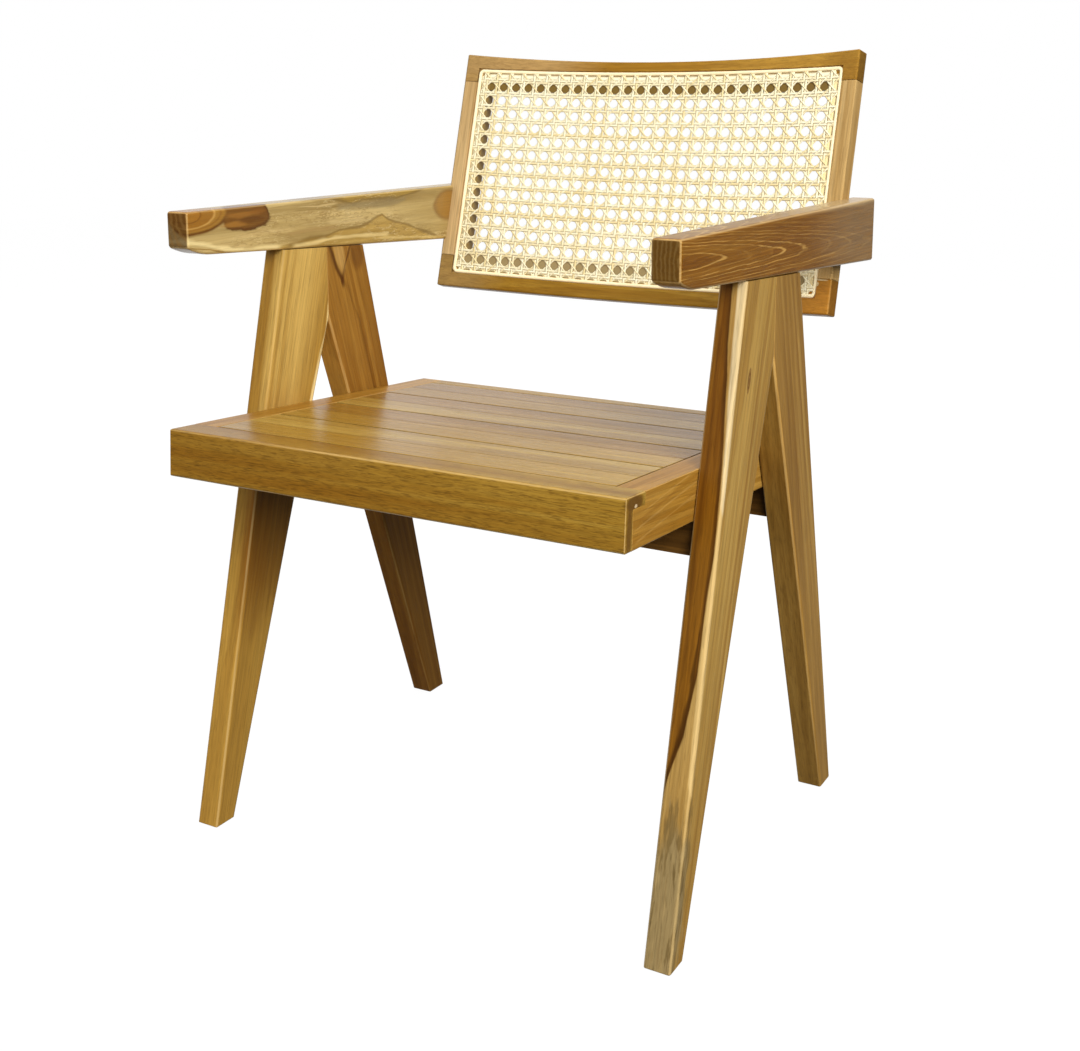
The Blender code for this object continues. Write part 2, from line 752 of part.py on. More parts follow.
# Cane: an open net on the recess floor. The opening takes as many whole holes as fit, less the
# half column at each end that lies against an upright.
def make_cane():
    holes_across = int(2 * (back_reach_u - BACK_STILE) / CANE_PITCH) - 1
    holes_up = int((BACK_HEIGHT - 2 * BACK_MEMBER) / CANE_PITCH_UP)
    half_width = back_reach_u - groove_inner - CLEARANCE
    half_height = BACK_HEIGHT / 2 - groove_inner - CLEARANCE

    def lines(count, half, pitch, shift):
        hole = pitch - CANE_STRAND
        values = [-half]
        for number in range(count):
            middle = (number - (count - 1) / 2) * pitch + shift
            values += [middle - hole / 2, middle + hole / 2]
        return [*values, half]

    u_lines = lines(holes_across, half_width, CANE_PITCH, CANE_SHIFT)
    v_lines = lines(holes_up, half_height, CANE_PITCH_UP, -CANE_DROP)
    columns = len(u_lines) - 1
    rows = len(v_lines) - 1
    depth = CANE_RECESS - CLEARANCE - CANE_THICKNESS / 2
    bm = bmesh.new()
    bmesh.ops.create_grid(bm, x_segments=columns, y_segments=rows, size=0.5)

    def place(point):
        return round((point.x + 0.5) * columns), round((point.y + 0.5) * rows)

    def is_hole(face):
        column = int((face.calc_center_median().x + 0.5) * columns)
        row = int((face.calc_center_median().y + 0.5) * rows)
        return column % 2 == 1 and row % 2 == 1

    bmesh.ops.delete(bm, geom=[face for face in bm.faces if is_hole(face)], context="FACES")
    for vertex in bm.verts:
        column, row = place(vertex.co)
        vertex.co = back_point(u_lines[column], depth, BACK_HEIGHT / 2 + v_lines[row])
    cane = new_object("cane_panel", bm, back)
    shell = cane.modifiers.new("thickness", "SOLIDIFY")
    shell.thickness = CANE_THICKNESS
    shell.offset = 0.0
    return paint(cane, CANE, 0.55)


def make_spline(place, u_range, v_range):
    bm = back_bar(u_range, (SPLINE_SINK, GROOVE_DEPTH - CLEARANCE), v_range)
    return paint(smooth(new_object(f"cane_spline_{place}", bm, back)), REED, 0.5)


make_cane()
spline_outer = groove_outer + CLEARANCE
spline_inner = groove_inner - CLEARANCE
spline_span = (spline_outer - back_reach_u, back_reach_u - spline_outer)
make_spline("bottom", spline_span, (spline_outer, spline_inner))
make_spline("top", spline_span, (BACK_HEIGHT - spline_inner, BACK_HEIGHT - spline_outer))
for side_name, side in SIDES:
    make_spline(
        side_name,
        mirrored((back_reach_u - spline_inner, back_reach_u - spline_outer), side),
        (spline_inner + CLEARANCE, BACK_HEIGHT - spline_inner - CLEARANCE),
    )

bpy.context.view_layer.update()
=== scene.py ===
import math
import random

import bmesh
import bpy
from mathutils import Matrix, Vector


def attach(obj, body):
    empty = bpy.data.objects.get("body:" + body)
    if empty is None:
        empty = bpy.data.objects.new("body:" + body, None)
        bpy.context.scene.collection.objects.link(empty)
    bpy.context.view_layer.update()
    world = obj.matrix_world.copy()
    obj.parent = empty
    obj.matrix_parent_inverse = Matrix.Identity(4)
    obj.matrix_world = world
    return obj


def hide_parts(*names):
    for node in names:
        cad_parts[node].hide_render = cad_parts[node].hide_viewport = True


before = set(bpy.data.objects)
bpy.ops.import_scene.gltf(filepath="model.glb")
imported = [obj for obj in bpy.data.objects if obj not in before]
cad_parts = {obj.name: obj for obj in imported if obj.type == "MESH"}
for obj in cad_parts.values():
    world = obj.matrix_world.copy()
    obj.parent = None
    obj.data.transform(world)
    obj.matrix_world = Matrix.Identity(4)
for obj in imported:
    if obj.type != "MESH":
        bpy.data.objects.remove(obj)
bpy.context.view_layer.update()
print("frame loaded:", len(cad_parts), "solids")

# Metres, in the frame of the solids. Forward is -Y, left is -X as seen from the front.
chair = {
    "jointY": -0.039708,  # upright joint between the front and rear legs
    "sideX": 0.25525,     # middle of each side frame
    "stock": 0.0265,
    "armTop": 0.6325,
    "armFront": -0.2116,  # ends of the arms, from the joint
    "armRear": 0.29504,
    "depthFront": 0.0416,
    "depthRear": 0.0671,
    "seatFront": -0.248,  # from the joint
    "seatTop": 0.430,
    "seatTilt": 3.36,     # degrees, down to the rear
    "backFront": 0.2165,  # bottom front corners of the back, from the joint
    "backBottom": 0.514,
}
sides = {"left": -1, "right": 1}
# a board on edge has its grain to the rear, a board on end has it upright
onEdge = Matrix(((0, 0, 1, 0), (1, 0, 0, 0), (0, 1, 0, 0), (0, 0, 0, 1)))
onEnd = Matrix(((0, 0, 1, 0), (0, -1, 0, 0), (1, 0, 0, 0), (0, 0, 0, 1)))
seatAt = Matrix.Translation((0, chair["jointY"] + chair["seatFront"], chair["seatTop"]))
seatFrame = seatAt @ Matrix.Rotation(math.radians(-chair["seatTilt"]), 4, "X")
backFrame = Matrix.Translation((0, chair["jointY"] + chair["backFront"], chair["backBottom"]))


def tint(rgb):
    # a colour as picked on screen, made linear
    linear = [((c / 255 + 0.055) / 1.055) ** 2.4 if c > 10 else c / 255 / 12.92 for c in rgb]
    return (*linear, 1.0)


def armUnderside(y):
    share = (y - chair["armFront"]) / (chair["armRear"] - chair["armFront"])
    return chair["armTop"] - chair["depthFront"] - share * (chair["depthRear"] - chair["depthFront"])


# Finishes. A wire is a socket of a node tree that can be reckoned with like a number.
class Wire:
    def __init__(self, socket):
        self.socket = socket

    def put(self, kind, sockets, out=0, **settings):
        return put(self.socket.id_data, kind, sockets, out, **settings)

    def calc(self, operation, other=0.0):
        return self.put("ShaderNodeMath", {0: self, 1: other}, operation=operation)

    def __add__(self, other):
        return self.calc("ADD", other)

    def __sub__(self, other):
        return self.calc("SUBTRACT", other)

    def __rsub__(self, number):
        return self.put("ShaderNodeMath", {0: number, 1: self}, operation="SUBTRACT")

    def __mul__(self, other):
        return self.calc("MULTIPLY", other)

    def __truediv__(self, other):
        return self.calc("DIVIDE", other)

    def __abs__(self):
        return self.calc("ABSOLUTE")

    def ease(self, low, high, start=0.0, end=1.0, kind="SMOOTHSTEP"):
        sockets = {0: self, 1: low, 2: high, 3: start, 4: end}
        return self.put("ShaderNodeMapRange", sockets, interpolation_type=kind)

    def blend(self, under, over):
        return self.put("ShaderNodeMix", {0: self, 6: under, 7: over}, 2, data_type="RGBA")

    def shade(self, factor):
        return self.put("ShaderNodeVectorMath", {0: self, "Scale": factor}, operation="SCALE")

    def move(self, operation, by):
        return self.put("ShaderNodeVectorMath", {0: self, 1: by}, operation=operation)

    def length(self):
        return self.put("ShaderNodeVectorMath", {0: self}, "Value", operation="LENGTH")

    def parts(self):
        first = self.put("ShaderNodeSeparateXYZ", {0: self})
        return [Wire(socket) for socket in first.socket.node.outputs]

    def ramp(self, stops):
        made = self.put("ShaderNodeValToRGB", {0: self})
        bar = made.socket.node.color_ramp
        while len(bar.elements) < len(stops):
            bar.elements.new(0.5)
        for element, (at, colour) in zip(bar.elements, stops):
            element.position = at
            element.color = colour
        return made

    def noise(self, scale, detail, rough=0.5, out="Fac"):
        sockets = {"Vector": self, "Scale": scale, "Detail": detail, "Roughness": rough}
        return self.put("ShaderNodeTexNoise", sockets, out)

    def bump(self, strength):
        return self.put("ShaderNodeBump", {"Strength": strength, "Distance": 1.0, "Height": self}, "Normal")


def connect(node, sockets):
    for key, value in sockets.items():
        if isinstance(value, Wire):
            node.id_data.links.new(value.socket, node.inputs[key])
        else:
            node.inputs[key].default_value = value


def put(tree, kind, sockets=None, out=0, **settings):
    node = tree.nodes.new(kind)
    for key, value in settings.items():
        setattr(node, key, value)
    connect(node, sockets or {})
    return Wire(node.outputs[out])


def newFinish(name):
    material = bpy.data.materials.new(name)
    material.use_nodes = True
    return material, material.node_tree


def feed(tree, sockets):
    connect(tree.nodes["Principled BSDF"], sockets)


# Marks on a board. Points are (x along the grain, offset), and towards says how much of an offset
# is measured across the board and how much into it.
def edge(points, towards, soft=0.001, ragged=0.004, border=None):
    return {"points": points, "towards": towards, "soft": soft, "ragged": ragged, "border": border}


def zone(dark, pale, *edges, show=1.0):
    return {"dark": dark, "pale": pale, "edges": edges, "show": show}


def vein(stretch, width, show, colour, level=0.5):
    return {"stretch": stretch, "width": width, "show": show, "colour": colour, "level": level}


def stroke(points, width, show, colour, towards=(1, 0), ragged=0.003, within=None):
    line = edge(points, towards, ragged=ragged)
    return {"line": line, "width": width, "show": show, "colour": colour, "within": within}


def stain(at, size, colour, show=1.0, soft=0.12, ragged=0.8, stretch=(22, 60, 60), bands=0.0, second=None):
    shape = {"at": at, "size": size, "soft": soft, "ragged": ragged, "stretch": stretch}
    return {**shape, "colour": colour, "show": show, "bands": bands, "second": second}


# Teak: growth rings round a pith line, fibres and pores along the grain, then the board's own marks
plainTeak = {
    "seed": 0, "turn": 0.0,  # degrees from X of the board to its grain
    "dark": (126, 84, 24), "mid": (150, 110, 40), "pale": (172, 134, 60),
    "line": (104, 66, 18), "lineShow": 0.30, "lineStart": 0.70,
    "pith": (0.05, -0.04), "lean": (0.010, 0.015), "ring": 0.0042, "wander": 0.006,
    "tone": (1.7, 20, 20), "fibre": 0.14, "fibreStretch": (8, 520, 520),
    "dash": 0.20, "dashStretch": (26, 760, 760), "dashColour": (92, 58, 16), "poreShow": 0.18,
    # the rebate colour is painted shade on the ledge behind the cane
    "roughness": 0.34, "varnish": 0.05, "rebate": (104, 78, 32),
    # side faces can get painted shade
    "sideDark": 1.0, "endDark": 0.62, "endFade": 0.0, "endColour": None, "endRings": None,
    # pale rounded edges: partly rubbed wear, partly a painted highlight
    "wear": 0.40, "wearColour": (228, 194, 130),
    "arches": (), "zones": (), "veins": (), "strokes": (), "stains": (),
}
# How far each noise is drawn out along, across and into the board
grainStretch = {
    "drift": (2.6, 11, 11), "ripple": (16, 130, 130), "streak": (3.2, 150, 150), "pores": (40, 1400, 1400),
    "archWave": (14, 90, 90), "archBreaks": (26, 240, 240), "edge": (9, 70, 70), "veinBreaks": (7, 24, 24),
    "strokeWidth": (24, 60, 60), "endBands": (60, 140, 140), "patch": (12, 40, 40), "swell": (6, 22, 22),
}
# What all boards share. Ranges are for ease: from, to and, in some, the values there.
shared = {
    "seedStep": (0.37, 0.71, 0.53), "endFacing": (0.75, 0.97), "sideFacing": (0.40, 0.90),
    "ripple": 0.7, "lineFull": 0.97, "lineStop": (1.0, 0.98), "yearSwing": 0.8,
    "toneShare": 0.58, "streakShare": 0.30, "yearShare": 0.12,
    "woodStops": (0.36, 0.50, 0.64), "zoneStops": (0.40, 0.60),
    "archWave": 0.0026, "archWidth": (0.00034, 0.00006), "archBreaks": (0.34, 0.56, 0.25, 1.0),
    "offsetScale": 5.0,  # a ramp holds 0 to 1, so offsets up to 0.1 m are kept about its middle
    "veinBreaks": (0.40, 0.60), "strokeSwing": (0.30, 0.70, 0.45, 1.5), "strokeCore": 0.15,
    "strokeTip": 0.012, "knotBands": (0.25, 0.85), "knotShow": 0.9,
    "fibres": (0.25, 0.75), "dashes": (0.52, 0.68), "pores": (0.60, 0.70),
    "endShow": 0.8, "endWobble": 1.1, "endBandStart": (0.30, 0.62), "endBandStop": (0.98, 0.72),
    "rounded": (0.95, 0.80), "wearPatches": (0.25, 0.55, 0.4, 1.0),
    "dulled": 0.10, "relief": 0.00006, "swell": 0.0003, "bump": 0.8,
    "ior": 1.35, "warmShine": (1.0, 0.80, 0.50, 1.0), "coatRoughness": 0.16,
}


class TeakBoard:
    def __init__(self, name, look):
        self.look = look
        self.noises = {}
        self.material, self.tree = newFinish(name)
        self.place = self.toGrain("Object")
        self.along, self.across, self.deep = self.place.parts()
        self.faced = [abs(part) for part in self.toGrain("Normal").parts()]
        self.shifted = self.place.move("ADD", [look["seed"] * step for step in shared["seedStep"]])
        self.endGrain = self.faced[0].ease(*shared["endFacing"])
        self.longGrain = 1.0 - self.endGrain * look["endFade"]

    def toGrain(self, kind):
        coords = put(self.tree, "ShaderNodeTexCoord", out=kind)
        sockets = {"Vector": coords, "Angle": -math.radians(self.look["turn"])}
        return coords.put("ShaderNodeVectorRotate", sockets, rotation_type="Z_AXIS")

    def grain(self, stretch, detail=2.0, rough=0.5, out="Fac"):
        # a stretch or its name; each noise is laid once and used again
        key = (stretch, detail, rough, out)
        if key not in self.noises:
            spread = self.shifted.move("MULTIPLY", grainStretch.get(stretch, stretch))
            self.noises[key] = spread.noise(1.0, detail, rough, out)
        return self.noises[key]

    def sway(self, stretch, amount, detail=3.0):
        return (self.grain(stretch, detail) - 0.5) * amount

    def lay(self, share, paint):
        self.colour = share.blend(self.colour, paint)

    def darken(self, factor):
        self.colour = self.colour.shade(factor)

    # the pith line leans and wanders, so the rings do too
    def growRings(self):
        look, swing = self.look, shared["yearSwing"]
        drift = self.grain("drift", out="Color").parts()
        reach = {}
        for number, value in enumerate((self.across, self.deep)):
            straight = value - look["pith"][number] - self.along * look["lean"][number]
            reach[number + 1] = straight + (drift[number] - 0.5) * (look["wander"] * 2)
        self.radius = put(self.tree, "ShaderNodeCombineXYZ", reach).length()
        rings = self.radius / look["ring"] + self.sway("ripple", shared["ripple"], 2.0)
        count = {"W": rings.calc("FLOOR")}
        self.year = put(self.tree, "ShaderNodeTexWhiteNoise", count, "Value", noise_dimensions="1D")
        phase = rings.calc("FRACT")
        line = phase.ease(look["lineStart"], shared["lineFull"]) * phase.ease(*shared["lineStop"])
        self.line = line * (self.year * swing + (1 - swing)) * self.longGrain

    def plainColour(self):
        look = self.look
        self.streak = self.grain("streak", 3.0, 0.55)
        body = self.grain(look["tone"]) * shared["toneShare"] + self.streak * shared["streakShare"]
        self.body = body + self.year * shared["yearShare"]
        woods = [tint(look[wood]) for wood in ("dark", "mid", "pale")]
        self.colour = self.body.ramp(list(zip(shared["woodStops"], woods)))
        self.lay(self.line * look["lineShow"], tint(look["line"]))

    # single growth lines at set distances from the pith, broken here and there
    def drawArches(self):
        for distance, show in self.look["arches"]:
            away = abs(self.radius + self.sway("archWave", shared["archWave"]) - distance)
            broken = self.grain("archBreaks").ease(*shared["archBreaks"])
            arch = away.ease(*shared["archWidth"]) * (broken * show)
            self.lay(arch * self.longGrain, tint(self.look["line"]))

    # how far the surface lies past an edge that is drawn along the board
    def past(self, line):
        points, (across, deep), scale = line["points"], line["towards"], shared["offsetScale"]
        start, span = points[0][0], points[-1][0] - points[0][0]
        stops = [((x - start) / span, (0.5 + scale * offset,) * 3 + (1.0,)) for x, offset in points]
        drawn = (((self.along - start) / span).ramp(stops) - 0.5) / scale
        return self.across * across + self.deep * deep - drawn + self.sway("edge", line["ragged"])

    # zones of other wood lie past all their edges; a dark rim stops at the edges listed before its own
    def drawZones(self):
        for mark in self.look["zones"]:
            mask = mark["show"]
            for line in mark["edges"]:
                away, soft, rim = self.past(line), line["soft"], line["border"]
                if rim:
                    band = away.ease(-rim["width"], -soft * 0.5) * away.ease(soft, 0.0)
                    self.lay(band * mask * rim["show"], tint(rim["colour"]))
                mask = away.ease(-soft, soft) * mask
            woods = [tint(mark["dark"]), tint(mark["pale"])]
            self.lay(mask, self.body.ramp(list(zip(shared["zoneStops"], woods))))

    # thin wandering veins, where a slow noise passes its level
    def drawVeins(self):
        for mark in self.look["veins"]:
            field = abs(self.grain(mark["stretch"], 3.0, 0.6) - mark["level"])
            broken = self.grain("veinBreaks", 1.0).ease(*shared["veinBreaks"])
            self.lay(field.ease(mark["width"], 0.0) * mark["show"] * broken, tint(mark["colour"]))

    # strokes drawn along the board, now thick, now thin, with faded tips
    def drawStrokes(self):
        tip = shared["strokeTip"]
        for mark in self.look["strokes"]:
            line, within = mark["line"], mark["within"]
            wide = self.grain("strokeWidth").ease(*shared["strokeSwing"]) * mark["width"]
            mask = abs(self.past(line)).ease(wide, wide * shared["strokeCore"]) * mark["show"]
            first, last = line["points"][0][0], line["points"][-1][0]
            mask = mask * (self.along.ease(first, first + tip) * self.along.ease(last, last - tip))
            if within:
                mask = mask * self.past(within).ease(-within["soft"], within["soft"])
            self.lay(mask, tint(mark["colour"]))

    # stains and knots: soft ellipsoids with ragged edges, the last ones lie on top
    def drawStains(self):
        for mark in self.look["stains"]:
            off = self.place.move("SUBTRACT", mark["at"]).move("DIVIDE", mark["size"])
            away = off.length() + self.sway(mark["stretch"], mark["ragged"])
            mask = away.ease(1.0 + mark["soft"], 1.0 - mark["soft"])
            paint = tint(mark["colour"])
            if mark["bands"]:
                bands = (away * mark["bands"]).calc("FRACT").ease(*shared["knotBands"])
                paint = (bands * shared["knotShow"]).blend(paint, tint(mark["second"]))
            self.lay(mask * mark["show"], paint)

    def addFibres(self):
        look, swing = self.look, self.look["fibre"]
        self.fibre = self.grain(look["fibreStretch"], 4.0, 0.65)
        self.pores = self.grain("pores", 1.0).ease(*shared["pores"])
        dashes = self.grain(look["dashStretch"], 1.0).ease(*shared["dashes"]) * self.longGrain
        self.darken(self.fibre.ease(*shared["fibres"], 1.0 + swing, 1.0 - swing))
        self.lay(dashes * look["dash"], tint(look["dashColour"]))
        self.darken(self.pores.ease(0.0, 1.0, 1.0, 1.0 - look["poreShow"]))

    # sawn ends are darker and can show their own rings; faces turned across the board can get painted shade
    def cutEnds(self):
        look, cut = self.look, self.look["endRings"]
        if look["endColour"]:
            self.lay(self.endGrain * shared["endShow"], tint(look["endColour"]))
        if cut:
            off = self.place.move("SUBTRACT", (0, *cut["pith"])).move("MULTIPLY", (0, cut["squash"], 1))
            wobble = self.grain("endBands", 3.0) * shared["endWobble"]
            bands = (off.length() / cut["gap"] + wobble).calc("FRACT")
            pale = bands.ease(*shared["endBandStart"]) * bands.ease(*shared["endBandStop"]) * cut["show"]
            self.lay(pale * self.endGrain, tint(cut["colour"]))
        self.darken(self.endGrain.ease(0.0, 1.0, 1.0, look["endDark"]))
        # painted shade on the faces turned across the board
        self.darken(self.faced[1].ease(*shared["sideFacing"], 1.0, look["sideDark"]))

    # rounded edges face no single way, and are laid pale: partly rubbed wear, partly painted highlight; then
    # the rebate ledge gets its painted shade
    def wearEdges(self):
        look = self.look
        if look["wear"]:
            steepest = self.faced[0].calc("MAXIMUM", self.faced[1]).calc("MAXIMUM", self.faced[2])
            wornAndLitEdge = steepest.ease(*shared["rounded"], 0.0, look["wear"])
            self.lay(wornAndLitEdge * self.streak.ease(*shared["wearPatches"]), tint(look["wearColour"]))
        # painted shade and light on the rebate ledge, where its points carry the mark
        rebate = put(self.tree, "ShaderNodeAttribute", out="Fac", attribute_name="rebate")
        self.lay(rebate, tint(look["rebate"]))

    def polish(self):
        look, dulled, depth = self.look, shared["dulled"], shared["relief"]
        dull = self.fibre * dulled + self.grain("patch") * dulled
        relief = self.fibre * depth - self.pores * depth + self.grain("swell", 1.0) * shared["swell"]
        feed(self.tree, {
            "Base Color": self.colour,
            "Roughness": dull + (look["roughness"] - dulled),
            "Normal": relief.bump(shared["bump"]),
            "IOR": shared["ior"],
            "Specular Tint": shared["warmShine"],
            "Coat Weight": look["varnish"],
            "Coat Roughness": shared["coatRoughness"],
        })


def teakFinish(name, **changes):
    board = TeakBoard(name, {**plainTeak, **changes})
    board.growRings()
    board.plainColour()
    board.drawArches()
    board.drawZones()
    board.drawVeins()
    board.drawStrokes()
    board.drawStains()
    board.addFibres()
    board.cutEnds()
    board.wearEdges()
    board.polish()
    return board.material


# Building helpers
sharpAngle = 35  # degrees; edges that turn more than this stay crisp


def settle(piece, material, slotName, *nodeNames):
    piece.data.materials.append(material)
    bpy.context.scene.collection.objects.link(piece)
    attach(piece, "root")
    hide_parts(*nodeNames)


def smoothPiece(name, bm, place, sharpAbove=None):
    bmesh.ops.recalc_face_normals(bm, faces=bm.faces)
    mesh = bpy.data.meshes.new(name)
    bm.to_mesh(mesh)
    bm.free()
    mesh.shade_smooth()
    if sharpAbove:
        mesh.set_sharp_from_angle(angle=math.radians(sharpAbove))
    piece = bpy.data.objects.new(name, mesh)
    piece.matrix_world = place
    return piece


# A board sawn from an outline in its own XY, with X along the grain. Each side of the outline has
# its own rounding, and each corner of the outline too.
def plank(name, outline, half, place, rounds, corners, segments=4):
    bm = bmesh.new()
    weight = bm.edges.layers.float.new("bevel_weight_edge")
    upper = [bm.verts.new((x, y, half)) for x, y in outline]
    lower = [bm.verts.new((x, y, -half)) for x, y in outline]
    bm.faces.new(upper)
    bm.faces.new(lower[::-1])
    widest = max([*rounds, *corners])
    count = len(outline)
    for i in range(count):
        j = (i + 1) % count
        bm.faces.new((lower[i], lower[j], upper[j], upper[i]))
        for ring in (upper, lower):
            bm.edges.get((ring[i], ring[j]))[weight] = rounds[i] / widest
        bm.edges.get((upper[i], lower[i]))[weight] = corners[i] / widest
    piece = smoothPiece(name, bm, place, sharpAngle)
    soften = piece.modifiers.new("easedEdges", "BEVEL")
    soften.width = widest
    soften.segments = segments
    soften.limit_method = "WEIGHT"
    soften.harden_normals = True
    return piece


def skin(bm, rows):
    # faces between rows of points, and one to close each end
    count = len(rows[0])
    for one, two in zip(rows, rows[1:]):
        for i in range(count):
            j = (i + 1) % count
            bm.faces.new((one[i], one[j], two[j], two[i]))
    bm.faces.new(rows[0][::-1])
    bm.faces.new(rows[-1])


# A closed bar from sections that all have the same number of points, in its own frame
def loft(name, sections, place, sharpAbove=sharpAngle, rebated=None):
    bm = bmesh.new()
    # points deep in the rebate carry a mark for painted shade
    mark = bm.verts.layers.float.new("rebate") if rebated else None
    rows = [[bm.verts.new(point) for point in section] for section in sections]
    for row in rows:
        for number, value in (rebated or {}).items():
            row[number][mark] = value
    skin(bm, rows)
    piece = smoothPiece(name, bm, place, sharpAbove)
    even = piece.modifiers.new("evenShading", "WEIGHTED_NORMAL")
    even.keep_sharp = True
    return piece


def arc(centre, radius, start, turn=90, steps=4):
    # points anticlockwise from an angle in degrees
    made = []
    for step in range(steps + 1):
        angle = math.radians(start + turn * step / steps)
        made.append((centre[0] + radius * math.cos(angle), centre[1] + radius * math.sin(angle)))
    return made


# Legs
legShape = {
    "front": {"way": -1, "reach": 0.208, "foot": 0.028, "top": 0.0707},
    "rear": {"way": 1, "reach": 0.216, "foot": 0.0315, "top": 0.0668},
    "edgeRound": 0.004, "footRound": 0.0014, "jointEase": 0.0006, "jointLength": 0.080, "gap": 0.0003,
}
